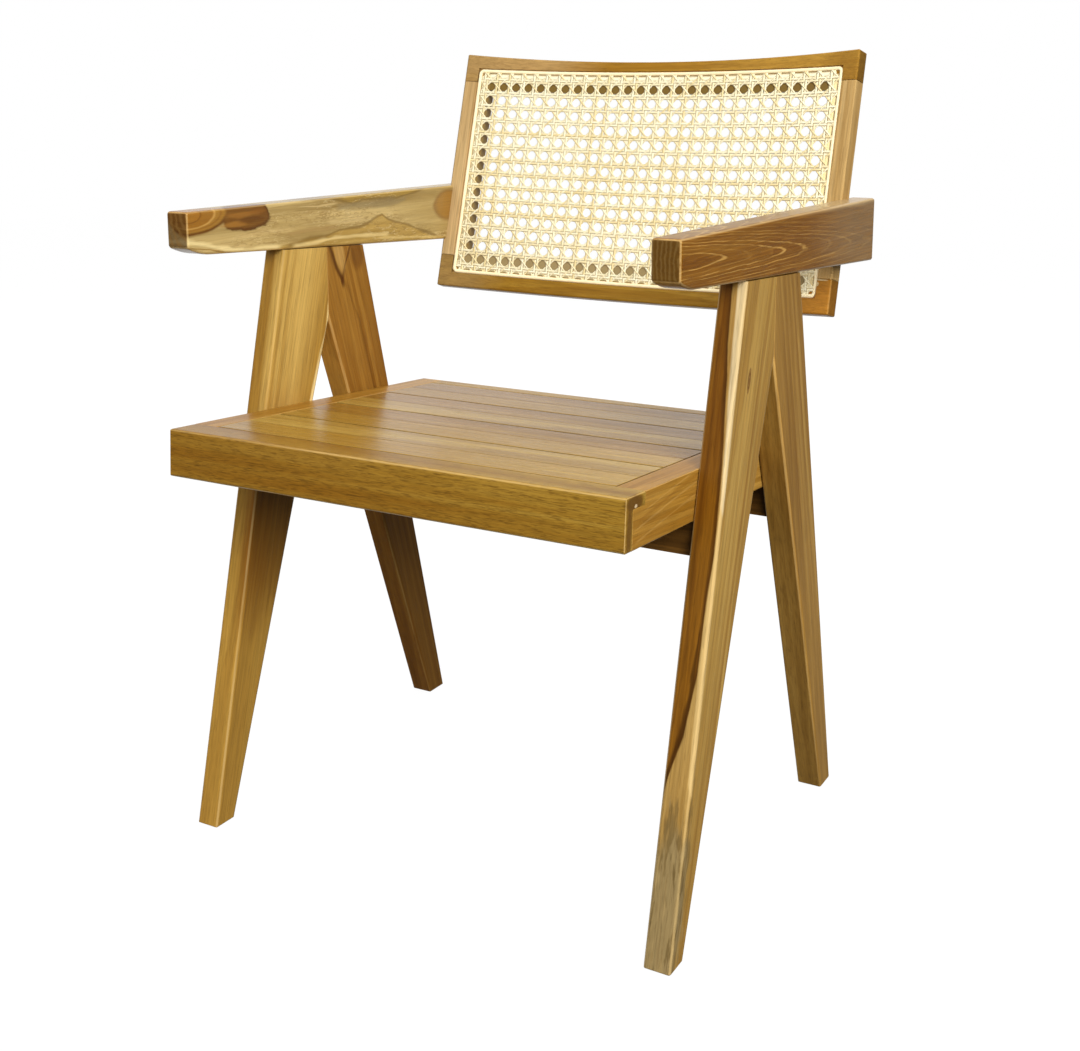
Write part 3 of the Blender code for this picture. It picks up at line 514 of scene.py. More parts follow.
# past this edge lies the front of a front leg
frontFace = edge([(0.0, 0.009), (0.6, 0.0307)], (1, 0), soft=0.0015, ragged=0.002)
legTeak = {
    "front_left": teakFinish(
        "teakFrontLegLeft", seed=3, turn=74.9, dark=(144, 102, 34), mid=(168, 126, 50), pale=(190, 150, 68),
        pith=(0.1, -0.03), ring=0.0048, lineShow=0.18,
        zones=[
            zone(
                (182, 144, 70), (206, 170, 92), edge([(0.25, 0.006), (0.6, 0.002)], (0, 1), soft=0.003),
                edge([(0.0, 0.06), (0.3, 0.028), (0.42, 0.006), (0.62, 0.0)], (0.3, 1), soft=0.008),
            ),
            # pale strip along the rear edge above the seat: painted light on the lit edge
            zone(
                (222, 190, 118), (240, 214, 150),
                edge(
                    [
                        (0.0, 0.06), (0.3, 0.044), (0.36, 0.043), (0.42, 0.041), (0.46, 0.044),
                        (0.5, 0.048), (0.5226, 0.054), (0.56, 0.0498), (0.62, 0.045),
                    ],
                    (-1, 0), soft=0.0015,
                ),
            ),
        ],
        stains=[
            stain((0.06, 0.0, 0.0), (0.2, 0.1, 0.1), (182, 138, 60), show=0.55, soft=0.45, ragged=0.3),
            # darker brown on the inner face under the seat: painted shade
            stain(
                (0.325, 0.0, 0.0135), (0.105, 0.06, 0.012), (132, 76, 14), show=0.6, soft=0.5, ragged=0.3,
            ),
            stain((0.205, 0.0, 0.0135), (0.018, 0.005, 0.004), (134, 92, 36), show=0.35, soft=0.5),
        ],
    ),
    "front_right": teakFinish(
        "teakFrontLegRight", seed=8, turn=74.9, dark=(150, 107, 42), mid=(176, 135, 62),
        pale=(196, 158, 82), pith=(0.03, -0.045), lean=(0.0, 0.02), ring=0.004, lineShow=0.22,
        zones=[
            zone(
                (88, 48, 6), (146, 96, 24),
                edge([(0.0, 0.0095), (0.6, 0.0312)], (1, 0), soft=0.0015, ragged=0.002),
            ),
            zone(
                (152, 115, 54), (182, 146, 82), frontFace,
                edge(
                    [
                        (0.0, -0.03), (0.12, -0.02), (0.145, -0.0125), (0.164, -0.0087), (0.182, -0.0034),
                        (0.2, 0.001), (0.236, 0.0052), (0.254, 0.0077), (0.323, 0.0087), (0.358, 0.0108),
                        (0.436, 0.009), (0.47, 0.0069), (0.513, 0.0045), (0.54, 0.0014), (0.583, 0.0),
                        (0.62, 0.0),
                    ],
                    (0, 1), soft=0.0008, ragged=0.003,
                    border={"colour": (64, 34, 8), "width": 0.0045, "show": 0.8},
                ),
            ),
            zone(
                (194, 160, 96), (218, 186, 124), frontFace,
                edge(
                    [
                        (0.08, 0.03), (0.16, 0.01), (0.254, 0.009), (0.323, 0.0098), (0.36, 0.0112),
                        (0.62, 0.0112),
                    ],
                    (0, 1),
                ),
                show=0.75,
            ),
            zone(
                (204, 180, 132), (232, 214, 174), frontFace,
                edge([(0.33, 0.03), (0.4, 0.0115), (0.47, 0.009), (0.54, 0.006), (0.62, 0.004)], (0, 1)),
                show=0.9,
            ),
        ],
        strokes=[
            stroke(
                [
                    (0.1, -0.024), (0.145, -0.015), (0.182, -0.006), (0.2, -0.0015), (0.236, 0.0028),
                    (0.3, 0.0058),
                ],
                0.0032, 0.75, (62, 34, 8), towards=(0, 1), within=frontFace,
            ),
            stroke(
                [(0.28, 0.006), (0.358, 0.0086), (0.436, 0.0068), (0.47, 0.0047), (0.54, -0.0008)], 0.0018,
                0.55, (84, 50, 14), towards=(0, 1), within=frontFace,
            ),
            stroke(
                [(0.2, -0.01), (0.28, -0.0055), (0.36, -0.0075), (0.46, -0.004), (0.56, -0.008)], 0.003,
                0.45, (86, 48, 10), towards=(0, 1), ragged=0.006, within=frontFace,
            ),
        ],
        stains=[
            stain(
                (0.045, 0.014, 0.0), (0.075, 0.012, 0.022), (138, 116, 74), show=0.8, soft=0.3, ragged=1.2,
                stretch=(30, 160, 160),
            ),
            stain(
                (0.06, 0.012, 0.0), (0.07, 0.01, 0.02), (100, 82, 48), show=0.6, soft=0.35, ragged=4.0,
                stretch=(34, 210, 210),
            ),
            stain(
                (0.04, 0.012, 0.0), (0.06, 0.01, 0.02), (172, 148, 100), show=0.5, soft=0.3, ragged=4.0,
                stretch=(42, 260, 260),
            ),
            stain(
                (0.512, 0.0, 0.0135), (0.011, 0.0035, 0.004), (112, 74, 26), ragged=0.5, bands=2.2,
                second=(160, 120, 56),
            ),
        ],
    ),
    "rear_left": teakFinish(
        "teakRearLegLeft", seed=12, turn=105.85, dark=(114, 72, 20), mid=(142, 96, 34), pale=(164, 118, 48),
        lean=(0.03, 0.01), lineShow=0.25, wear=0.2,
        strokes=[
            stroke(
                [(0.557, 0.019), (0.57, 0.0206), (0.585, 0.0251), (0.607, 0.0288), (0.63, 0.032)], 0.004,
                0.9, (78, 40, 8), ragged=0.002,
            ),
            stroke(
                [(0.556, 0.0225), (0.568, 0.0206), (0.58, 0.0135), (0.5955, -0.0011), (0.615, -0.018)],
                0.0036, 0.8, (84, 44, 10), ragged=0.002,
            ),
            stroke(
                [(0.4, 0.002), (0.4764, 0.0047), (0.5135, 0.0045), (0.5407, 0.0111), (0.57, 0.016)], 0.004,
                0.35, (96, 56, 14),
            ),
        ],
        stains=[
            stain(
                (0.602, 0.016, 0.0132), (0.024, 0.008, 0.006), (188, 148, 82), show=0.8, soft=0.35,
                ragged=0.3,
            ),
            stain((0.585, -0.013, 0.0132), (0.016, 0.011, 0.006), (106, 62, 16), show=0.7, soft=0.4),
            # darker lower part of the leg: painted shade under the seat
            stain((0.12, 0.0, 0.0), (0.26, 0.1, 0.1), (104, 60, 14), show=0.35, soft=0.45, ragged=0.2),
        ],
    ),
    # the front and rear faces of this leg get painted shade
    "rear_right": teakFinish(
        "teakRearLegRight", seed=17, turn=105.85, dark=(134, 93, 32), mid=(162, 120, 52),
        pale=(184, 144, 72), lean=(0.015, 0.02), lineShow=0.22, sideDark=0.7, wear=0.2,
        stains=[stain((0.06, 0.0, 0.0), (0.24, 0.1, 0.1), (206, 162, 84), show=0.2, soft=0.5, ragged=0.3)],
    ),
}


def makeLeg(place, side):
    shape = legShape[place]
    way = shape["way"]
    joint = way * legShape["gap"] / 2
    outerTop = way * shape["top"]
    points = [
        (way * shape["reach"], 0.0),
        (way * (shape["reach"] - shape["foot"]), 0.0),
        (joint, armUnderside(0) - legShape["jointLength"]),
        (joint, armUnderside(joint) - legShape["gap"]),
        (outerTop, armUnderside(outerTop) - legShape["gap"]),
    ]
    foot = way * (shape["reach"] - shape["foot"] / 2)
    stand = Matrix.Translation((sides[side] * chair["sideX"], chair["jointY"] + foot, 0)) @ onEdge
    outline = [(y - foot, z) for y, z in points]
    rounds = [legShape["footRound"], legShape["edgeRound"], legShape["jointEase"], 0, legShape["edgeRound"]]
    corners = [legShape["footRound"], legShape["footRound"], 0, 0, 0]
    leg = plank(f"teak_{place}_leg_{side}", outline, chair["stock"] / 2, stand, rounds, corners)
    settle(leg, legTeak[f"{place}_{side}"], "teak_legs", f"{place}_leg_{side}")


for side in sides:
    makeLeg("front", side)
    makeLeg("rear", side)
print("legs stand")

# Arms
armShape = {"edgeRound": 0.003, "noseLength": 0.033, "noseRise": 0.007, "noseSteps": 8}

# Left arm, as (x, height from the top): where the golden wood begins below and above the pale wood
goldBelow = [
    (0.161, -0.0436), (0.183, -0.0402), (0.209, -0.0403), (0.235, -0.036), (0.271, -0.0357), (0.29, -0.0316),
    (0.302, -0.0268), (0.313, -0.0243), (0.325, -0.0308), (0.338, -0.0353), (0.364, -0.0397),
    (0.389, -0.0487),
]
goldAbove = [
    (0.229, -0.002), (0.247, -0.0064), (0.261, -0.0095), (0.276, -0.0061), (0.32, -0.0077), (0.341, -0.008),
    (0.38, -0.0034),
]
downwards = [(x, -height) for x, height in goldBelow]


def cloud(points, width, show, colour):
    return stroke(points, width, show, colour, ragged=0.006)


# one ring of the heart that shows on the left arm's face
def heartRing(x, height, length, width, colour, soft):
    return stain((x, height, 0.010), (length, width, 0.022), colour, soft=soft, ragged=0.25)


# the dark blot beside the heart, and thin flecks in it
def blot(x, height, size, colour, soft, ragged):
    return stain((x, height, 0.010), size, colour, soft=soft, ragged=ragged, stretch=(44, 120, 120))


def fleck(x, height, length, width, colour):
    place, size = (x, height, 0.012), (length, width, 0.012)
    return stain(place, size, colour, show=0.7, soft=0.45, ragged=1.6, stretch=(34, 200, 200))


# the knot near the back
def knot(x, length, width, colour, show, soft):
    return stain((x, -0.0225, 0.012), (length, width, 0.016), colour, show=show, soft=soft, ragged=0.3)


def ringsAtEnd(pith, squash, gap, colour, show):
    return {"pith": pith, "squash": squash, "gap": gap, "colour": colour, "show": show}


armTeak = {
    "left": teakFinish(
        "teakArmLeft", seed=21, dark=(148, 121, 66), mid=(178, 152, 94), pale=(204, 178, 118), lineShow=0.06,
        pith=(-0.05, 0.05), lean=(0.05, 0.02), wander=0.02, tone=(5, 34, 34), fibre=0.09, poreShow=0.1,
        dash=0.14, dashStretch=(40, 700, 700), dashColour=(136, 106, 52), varnish=0.45,
        veins=[
            vein((20, 110, 110), 0.024, 0.6, (138, 108, 56)),
            vein((26, 170, 170), 0.022, 0.6, (222, 200, 146), level=0.54),
            vein((34, 240, 240), 0.018, 0.5, (130, 102, 54), level=0.47),
        ],
        zones=[
            zone(
                (162, 128, 54), (192, 158, 82),
                edge([(0.12, 0.0445), *downwards, (0.414, 0.058), (0.47, 0.066)], (-1, 0), soft=0.0015),
                show=0.85,
            ),
            zone(
                (162, 130, 54), (190, 158, 80),
                edge([(0.17, 0.002), *goldAbove, (0.4, 0.0012), (0.416, 0.0063), (0.47, 0.012)], (1, 0)),
                show=0.9,
            ),
        ],
        strokes=[
            stroke([(0.14, -0.0445), *goldBelow, (0.43, -0.06)], 0.0026, 0.7, (126, 98, 46), ragged=0.005),
            stroke([(0.215, -0.001), *goldAbove, (0.41, 0.003)], 0.0026, 0.75, (122, 96, 46), ragged=0.005),
            stroke(
                [
                    (0.225, -0.0115), (0.245, -0.0117), (0.28, -0.0122), (0.306, -0.0136), (0.335, -0.0125),
                    (0.365, -0.0095),
                ],
                0.006, 0.6, (142, 126, 90), ragged=0.01,
            ),
            stroke(
                [(-0.015, -0.0255), (0.003, -0.0293), (0.037, -0.0363), (0.08, -0.0445), (0.14, -0.0455)],
                0.0045, 0.8, (236, 214, 152),
            ),
            stroke(
                [(-0.015, -0.033), (0.002, -0.035), (0.03, -0.0385), (0.051, -0.0434), (0.08, -0.0465)],
                0.0022, 0.75, (142, 104, 40),
            ),
            stroke(
                [(0.15, -0.0455), (0.166, -0.0461), (0.226, -0.0429), (0.28, -0.0453), (0.33, -0.048)],
                0.0028, 0.7, (234, 208, 142), ragged=0.006,
            ),
            stroke([(0.3, -0.05), (0.378, -0.0561), (0.43, -0.06)], 0.002, 0.5, (226, 198, 128)),
            stroke([(0.16, -0.0055), (0.2, -0.0075), (0.235, -0.0065)], 0.0016, 0.7, (212, 186, 128)),
            stroke([(0.155, -0.009), (0.205, -0.011), (0.24, -0.01)], 0.0016, 0.6, (136, 110, 58)),
            cloud([(0.21, -0.0245), (0.245, -0.0285), (0.285, -0.027)], 0.0036, 0.6, (208, 182, 126)),
            cloud([(0.14, -0.033), (0.19, -0.031), (0.235, -0.033)], 0.003, 0.5, (164, 132, 80)),
            cloud([(0.06, -0.03), (0.11, -0.027), (0.16, -0.029)], 0.003, 0.4, (204, 176, 118)),
            stroke(
                [(0.165, -0.001), (0.185, -0.0006), (0.23, -0.001), (0.25, -0.002)],
                0.0018, 0.8, (120, 92, 40), ragged=0.001,
            ),
        ],
        stains=[
            heartRing(0.006, -0.002, 0.053, 0.0218, (104, 62, 16), 0.06),
            blot(0.084, -0.0105, (0.037, 0.015, 0.02), (84, 46, 10), 0.08, 0.6),
            blot(0.1045, -0.009, (0.0145, 0.0115, 0.018), (84, 46, 10), 0.1, 0.5),
            blot(0.083, -0.01, (0.0345, 0.0128, 0.02), (116, 73, 22), 0.14, 0.6),
            blot(0.104, -0.0085, (0.0115, 0.009, 0.018), (112, 69, 20), 0.16, 0.5),
            fleck(0.075, -0.008, 0.024, 0.0032, (156, 104, 38)),
            fleck(0.064, -0.0165, 0.017, 0.003, (160, 110, 42)),
            fleck(0.1, -0.0065, 0.012, 0.0028, (136, 84, 26)),
            stain(
                (0.092, -0.014, 0.012), (0.02, 0.003, 0.012), (88, 48, 10), show=0.6, soft=0.4, ragged=1.2,
                stretch=(30, 200, 200),
            ),
            heartRing(0.006, -0.002, 0.0475, 0.0188, (160, 114, 42), 0.06),
            heartRing(0.006, -0.002, 0.0415, 0.0166, (140, 92, 30), 0.05),
            heartRing(0.006, -0.002, 0.0395, 0.0158, (162, 116, 44), 0.05),
            heartRing(0.005, -0.003, 0.0345, 0.014, (198, 152, 78), 0.05),
            heartRing(0.005, -0.003, 0.032, 0.013, (152, 102, 32), 0.06),
            heartRing(0.004, -0.0035, 0.0165, 0.008, (128, 80, 22), 0.08),
            heartRing(0.004, -0.0035, 0.0145, 0.007, (158, 106, 34), 0.08),
            knot(0.448, 0.03, 0.0175, (128, 86, 32), 0.7, 0.14),
            knot(0.45, 0.0255, 0.015, (164, 120, 50), 0.8, 0.18),
        ],
        endDark=1.0, endColour=(80, 48, 14), endFade=0.5,
        endRings=ringsAtEnd((-0.004, 0.012), 0.6, 0.0062, (132, 96, 46), 0.5),
    ),
    "right": teakFinish(
        "teakArmRight", seed=27, dark=(106, 61, 6), mid=(124, 76, 10), pale=(142, 94, 22), fibre=0.2,
        dash=0.4, dashStretch=(24, 900, 900), dashColour=(168, 114, 34), varnish=0.25,
        line=(206, 158, 80), lineShow=0.1, lineStart=0.8, ring=0.0022, wander=0.0016,
        pith=(-0.019, 0.00425), lean=(-0.05, -0.031),
        arches=[
            (0.0114, 0.8), (0.0136, 0.3), (0.0158, 0.9), (0.018, 0.85), (0.0202, 0.3), (0.0221, 0.7),
            (0.024, 0.55), (0.0268, 0.45), (0.03, 0.45),
        ],
        stains=[
            # pale haze toward the rear of the outer face and a pale strip along the top there: painted
            # reflection
            stain((0.5, -0.03, 0.013), (0.15, 0.05, 0.05), (156, 126, 86), show=0.65, soft=0.6, ragged=0.2),
            stain((0.46, 0.0, 0.0), (0.16, 0.004, 0.03), (206, 180, 134), show=0.6, soft=0.6, ragged=0.2),
        ],
        endDark=1.0, endColour=(82, 58, 22), endFade=0.9,
        endRings=ringsAtEnd((-0.021, 0.011), 0.22, 0.0036, (132, 104, 58), 0.35),
    ),
}


def makeArm(side):
    front, top, rise = chair["armFront"], chair["armTop"], armShape["noseRise"]
    length = chair["armRear"] - front
    outline = [(0, 0), (0, armUnderside(front) + rise - top)]
    for step in range(armShape["noseSteps"] - 1, -1, -1):
        share = step / armShape["noseSteps"]
        x = armShape["noseLength"] * (1 - share)
        outline.append((x, armUnderside(front + x) - top + rise * share**2))
    outline += [(length, armUnderside(chair["armRear"]) - top), (length, 0)]
    rounds = [armShape["edgeRound"]] * len(outline)
    corners = [0.0] * len(outline)
    for i in (0, 1, -1, -2):
        corners[i] = armShape["edgeRound"]
    place = Matrix.Translation((sides[side] * chair["sideX"], chair["jointY"] + front, top)) @ onEdge
    arm = plank(f"teak_armrest_{side}", outline, chair["stock"] / 2, place, rounds, corners)
    settle(arm, armTeak[side], "teak_arms", f"armrest_{side}")


for side in sides:
    makeArm(side)
print("arms on")

# Seat: front apron lapped over the side rails, slats between them
seatShape = {
    "half": 0.2417, "depth": 0.429, "height": 0.046, "railWidth": 0.027, "rearWidth": 0.022,
    "apronWidth": 0.035, "apronFace": 0.0125, "lip": 0.011, "frontRound": 0.003, "endRound": 0.6,
    "gap": 0.0003, "lapGap": 0.0008, "lapStep": 0.0005,
    "railRounds": [0.0015, 0.002, 0.0012, 0.0004, 0.0004, 0.0004],
    "railCorners": [0.0004, 0.002, 0.002, 0.0005, 0, 0],
    "rearRounds": [0.0006, 0.0003, 0.002, 0.0003], "sawnRound": 0.0003,
    "slatGap": 0.002, "tightGap": 0.0005, "endGap": 0.0006, "slatThickness": 0.016,
    "slatRound": 0.0011, "tightRound": 0.0004, "slatSegments": 3,
    "slatTones": ["Gold", "Pale", "Gold", "Brown", "Pale", "Brown", "Gold", "Brown"],  # from the front
}
# the slats' sides, in the gaps between them, get painted shade
slatWood = {"lineShow": 0.2, "sideDark": 0.25, "endDark": 0.35, "roughness": 0.27, "wear": 0.0}
seatTeak = {
    "apron": teakFinish(
        "teakApron", seed=31, dark=(134, 94, 26), mid=(154, 117, 40), pale=(170, 134, 54), fibre=0.2,
        fibreStretch=(70, 900, 900), ring=0.0034, dash=0.52, dashStretch=(110, 1500, 1500),
        dashColour=(82, 50, 12), pith=(0.02, -0.11), lean=(0.004, 0.012), lineShow=0.14, tone=(2.0, 40, 40),
        endDark=1.0,
        stains=[
            # darker towards the left end: painted shade
            stain((-0.25, 0.0, -0.02), (0.32, 0.1, 0.1), (136, 90, 22), show=0.5, soft=0.6, ragged=0.3),
            stain(
                (0.2417, 0.0155, -0.0062), (0.004, 0.015, 0.0062), (104, 70, 26), show=0.85, soft=0.3,
                ragged=0.6,
            ),
            stain(
                (0.2417, 0.0068, -0.029), (0.003, 0.0042, 0.023), (108, 74, 28), show=0.8, soft=0.35,
                ragged=0.5,
            ),
            stain((0.2417, 0.0175, -0.0092), (0.003, 0.0024, 0.0016), (218, 192, 150), ragged=0.4),
        ],
    ),
    "sideRails": teakFinish(
        "teakSideRails", seed=36, dark=(154, 106, 32), mid=(180, 132, 52), pale=(202, 157, 75),
        lean=(0.0, 0.05), ring=0.005, lineShow=0.35,
        strokes=[
            stroke(
                [(0.015, -0.03), (0.08, -0.019), (0.15, -0.009)], 0.0012, 0.35, (214, 168, 92),
                ragged=0.002,
            ),
            stroke(
                [(0.03, -0.017), (0.08, -0.0085), (0.13, -0.001)], 0.0012, 0.35, (214, 168, 92),
                ragged=0.002,
            ),
            stroke(
                [(0.015, -0.041), (0.09, -0.0285), (0.17, -0.017)], 0.0014, 0.3, (210, 164, 88),
                ragged=0.002,
            ),
            stroke(
                [(0.02, -0.023), (0.085, -0.0125), (0.15, -0.003)], 0.0024, 0.35, (134, 84, 22),
                ragged=0.003,
            ),
        ],
    ),
    "rearRail": teakFinish(
        "teakRearRail", seed=39, dark=(140, 100, 36), mid=(162, 122, 50), pale=(182, 146, 70),
    ),
    "slatsGold": teakFinish(
        "teakSlatsGold", seed=42, dark=(140, 102, 36), mid=(160, 122, 48), pale=(178, 142, 64),
        pith=(0.01, -0.06), **slatWood,
    ),
    "slatsBrown": teakFinish(
        "teakSlatsBrown", seed=47, dark=(126, 88, 30), mid=(146, 106, 40), pale=(164, 126, 54),
        pith=(0.02, -0.05), **slatWood,
    ),
    "slatsPale": teakFinish(
        "teakSlatsPale", seed=53, dark=(152, 116, 48), mid=(172, 138, 64), pale=(190, 158, 82),
        pith=(-0.02, -0.07), **slatWood,
    ),
}


def makeApron():
    s = seatShape
    r, gap, height, width = s["frontRound"], s["gap"], s["height"], s["apronWidth"]
    inner = s["half"] - s["railWidth"] - gap
    endRound = r * s["endRound"]

    def section(x, lapped, inset):
        # front top corner round to the front bottom corner, then the back with or without the lap
        face = s["apronFace"] if lapped else width
        notch = -s["lip"] if lapped else -height / 2
        points = arc((r + gap, -r), r, 90) + arc((r + gap, r - height), r, 180)
        points += [(face, -height), (face, notch), (width, -s["lip"]), (width, 0)]
        low, high = inset - height, -inset
        return [Vector((x, max(y, inset), min(max(z, low), high))) for y, z in points]

    right = [section(inner - s["lapStep"], False, 0), section(inner, True, 0)]
    for degrees in (0, 30, 60, 90):
        angle = math.radians(degrees)
        x = s["half"] - endRound * (1 - math.sin(angle))
        right.append(section(x, True, endRound * (1 - math.cos(angle))))
    left = [[Vector((-p.x, p.y, p.z)) for p in row] for row in reversed(right)]
    apron = loft("teak_seat_front_apron", left + right, seatFrame)
    settle(apron, seatTeak["apron"], "teak_seat_frame", "seat_front_apron")


def makeSeatRails():
    s = seatShape
    height, depth = s["height"], s["depth"]
    lap, behind, underLip = s["apronFace"] + s["lapGap"], s["apronWidth"] + s["gap"], -s["lip"] - s["gap"]
    for side, way in sides.items():
        outline = [
            (lap, -height), (depth, -height), (depth, 0), (behind, 0), (behind, underLip), (lap, underLip),
        ]
        place = seatFrame @ Matrix.Translation((way * (s["half"] - s["railWidth"] / 2), 0, 0)) @ onEdge
        name = f"seat_side_rail_{side}"
        rail = plank(f"teak_{name}", outline, s["railWidth"] / 2, place, s["railRounds"], s["railCorners"])
        settle(rail, seatTeak["sideRails"], "teak_seat_frame", name)
    inner = s["half"] - s["railWidth"] - s["gap"]
    front = depth - s["rearWidth"]
    outline = [(-inner, front), (inner, front), (inner, depth), (-inner, depth)]
    place = seatFrame @ Matrix.Translation((0, 0, -height / 2))
    rail = plank("teak_seat_rear_rail", outline, height / 2, place, s["rearRounds"], [s["sawnRound"]] * 4)
    settle(rail, seatTeak["rearRail"], "teak_seat_frame", "seat_rear_rail")


def makeSlats():
    s = seatShape
    inner = s["half"] - s["railWidth"] - s["endGap"]
    pitch = (s["depth"] - s["rearWidth"] - s["apronWidth"] - s["slatGap"]) / len(s["slatTones"])
    width = pitch - s["slatGap"]
    extra = (s["slatGap"] - s["tightGap"]) / 2
    half, sawn = s["slatThickness"] / 2, s["sawnRound"]
    for i, tone in enumerate(s["slatTones"]):
        # every other gap is a tight one
        low, high = -width / 2, width / 2 + extra
        rounds = [s["slatRound"], sawn, s["tightRound"], sawn]
        if i % 2:
            low, high = -width / 2 - extra, width / 2
            rounds = [s["tightRound"], sawn, s["slatRound"], sawn]
        outline = [(-inner, low), (inner, low), (inner, high), (-inner, high)]
        front = s["apronWidth"] + s["slatGap"] + i * pitch
        place = seatFrame @ Matrix.Translation((0, front + width / 2, -half))
        name = f"seat_slat_{i + 1}"
        slat = plank(f"teak_{name}", outline, half, place, rounds, [sawn] * 4, s["slatSegments"])
        settle(slat, seatTeak[f"slats{tone}"], "teak_slats", name)


makeApron()
makeSeatRails()
makeSlats()
print("seat boarded")

# Back frame: u along its hollow, w into its thickness, v up the recline, d in from the outer edge
backShape = {
    "radius": 1.38636, "reach": 0.24729, "height": 0.2864, "thickness": 0.018, "recline": 15.5,
    "border": 0.017, "recess": 0.003, "litLedge": 0.0105, "ledgeFade": 0.002, "railReach": 0.043,
    "stileReach": 0.033, "topJoint": 0.0335, "bottomJoint": 0.038, "dip": 0.0055, "edgeRound": 0.0026,
    "ease": 0.0005, "endEase": 0.0004, "gap": 0.0003, "steps": 48,
    "rebated": {10: 1.0, 11: 1.0, 12: 0.6},  # points of the section deep in the rebate, marked for painted shade
}


def backPoint(u, w, v):
    b = backShape
    radius, angle, lean = b["radius"] + w, u / b["radius"], math.radians(b["recline"])
    y = radius * math.cos(angle) - b["radius"] * math.cos(b["reach"] / b["radius"])
    up = v * math.cos(lean) - y * math.sin(lean)
    return Vector((radius * math.sin(angle), y * math.cos(lean) + v * math.sin(lean), up))


# each rebate colour is painted shade or light on the ledge seen through the cane: darkest at the top, paler
# at the left and bottom, palest at the right
backTeak = {
    "top": teakFinish(
        "teakBackTop", seed=61, dark=(136, 92, 20), mid=(158, 113, 32), pale=(176, 133, 48), lineShow=0.15,
        rebate=(122, 97, 48), wear=0.0,
        stains=[
            # paler, hazier left end: painted reflection
            stain(backPoint(-0.19, 0.0, 0.275), (0.095, 0.03, 0.03), (188, 154, 102), show=0.65, soft=0.5),
            stain(backPoint(-0.24, 0.0, 0.27), (0.03, 0.03, 0.03), (158, 126, 76), show=0.5, soft=0.45),
            stain(backPoint(0.16, 0.0, 0.275), (0.1, 0.03, 0.03), (190, 146, 64), show=0.45, soft=0.5),
            stain(backPoint(0.24, 0.0, 0.27), (0.03, 0.03, 0.03), (126, 84, 30), show=0.4, soft=0.45),
        ],
    ),
    "bottom": teakFinish(
        "teakBackBottom", seed=66, dark=(130, 90, 22), mid=(152, 112, 34), pale=(172, 134, 50),
        lineShow=0.2, rebate=(158, 138, 96), wear=0.15,
        stains=[
            stain(backPoint(-0.235, 0.0, 0.015), (0.06, 0.03, 0.03), (152, 122, 74), show=0.7, soft=0.45),
            stain(backPoint(0.232, 0.0, 0.018), (0.045, 0.03, 0.03), (182, 118, 40), show=0.65, soft=0.45),
            stain(backPoint(0.235, 0.0, 0.037), (0.0085, 0.006, 0.0007), (220, 196, 146), ragged=0.3),
            stain(backPoint(0.23, 0.0, 0.0325), (0.0028, 0.004, 0.0024), (214, 188, 136), ragged=0.5),
        ],
    ),
    "left": teakFinish(
        "teakBackStileLeft", seed=71, turn=-15.5, dark=(164, 128, 76), mid=(187, 152, 100),
        pale=(205, 174, 122), lineShow=0.15, rebate=(146, 120, 70), wear=0.0,
        stains=[
            # dark line along the outer edge: painted shade on the outer rounding
            stain((0.14, 0.0, -0.2466), (1.0, 1.0, 0.0018), (116, 90, 60), show=0.7, soft=0.5, ragged=0.2),
        ],
    ),
    "right": teakFinish(
        "teakBackStileRight", seed=74, turn=-15.5, dark=(164, 126, 68), mid=(186, 150, 92),
        pale=(206, 172, 114), lineShow=0.2, rebate=(192, 164, 116), wear=0.2,
    ),
}


# The frame's section as (d, w): rounded outer edges, the face, then the rebate that the cane lies in.
# Where the face runs on to the joint there is no rebate, and its points go up the inner side.
def backSection(reach, inset, rebated=True):
    b = backShape
    r, e, t, recess = b["edgeRound"], b["ease"], b["thickness"], b["recess"]
    face = b["border"] if rebated else reach
    points = arc((r, r), r, 180) + arc((face - e, e), e, 270, steps=2)
    ledge = [0, b["litLedge"], b["litLedge"] + b["ledgeFade"]]
    points += [(face + d, recess) if rebated else (reach, recess + d / 4) for d in ledge]
    points += [(reach, recess if rebated else t / 2), (reach, t - e)]
    points += arc((reach - e, t - e), e, 0, steps=2)[1:] + arc((r, t - r), r, 90)
    return [(max(d, inset), min(max(w, inset), t - inset)) for d, w in points]


def makeBackRail(place):
    b = backShape
    r, gap, full = b["edgeRound"], b["gap"], b["railReach"]
    joint = b[f"{place}Joint"]
    faceEnd, shoulder = b["reach"] - b["border"], b["reach"] - b["stileReach"]
    # stations along u: rounded end, plain face over the joint, then the rebate
    stations = []
    for degrees in (90, 60, 30, 0):
        angle = math.radians(degrees)
        stations.append((b["reach"] - r + r * math.sin(angle), joint, r - r * math.cos(angle), False))
    stations += [(faceEnd + gap, joint, 0, False), (faceEnd - gap, joint, 0, True)]
    stations += [(shoulder + gap, joint, 0, True), (shoulder - gap, full, 0, True)]
    for i in range(1, b["steps"] // 2):
        stations.append((shoulder * (1 - 2 * i / b["steps"]), full, 0, True))
    stations = stations + [(0, full, 0, True)] + [(-u, *rest) for u, *rest in reversed(stations)]
    sections = []
    for u, reach, inset, rebated in stations:
        dip = b["dip"] * (1 - (u / b["reach"]) ** 2) if place == "top" else 0
        row = []
        for d, w in backSection(reach, inset, rebated):
            v = d + max(0, 1 - d / b["border"]) * dip
            row.append(backPoint(u, w, b["height"] - v if place == "top" else v))
        sections.append(row)
    rail = loft(f"teak_back_{place}_rail", sections, backFrame, rebated=b["rebated"])
    settle(rail, backTeak[place], "teak_back", f"back_{place}_rail")


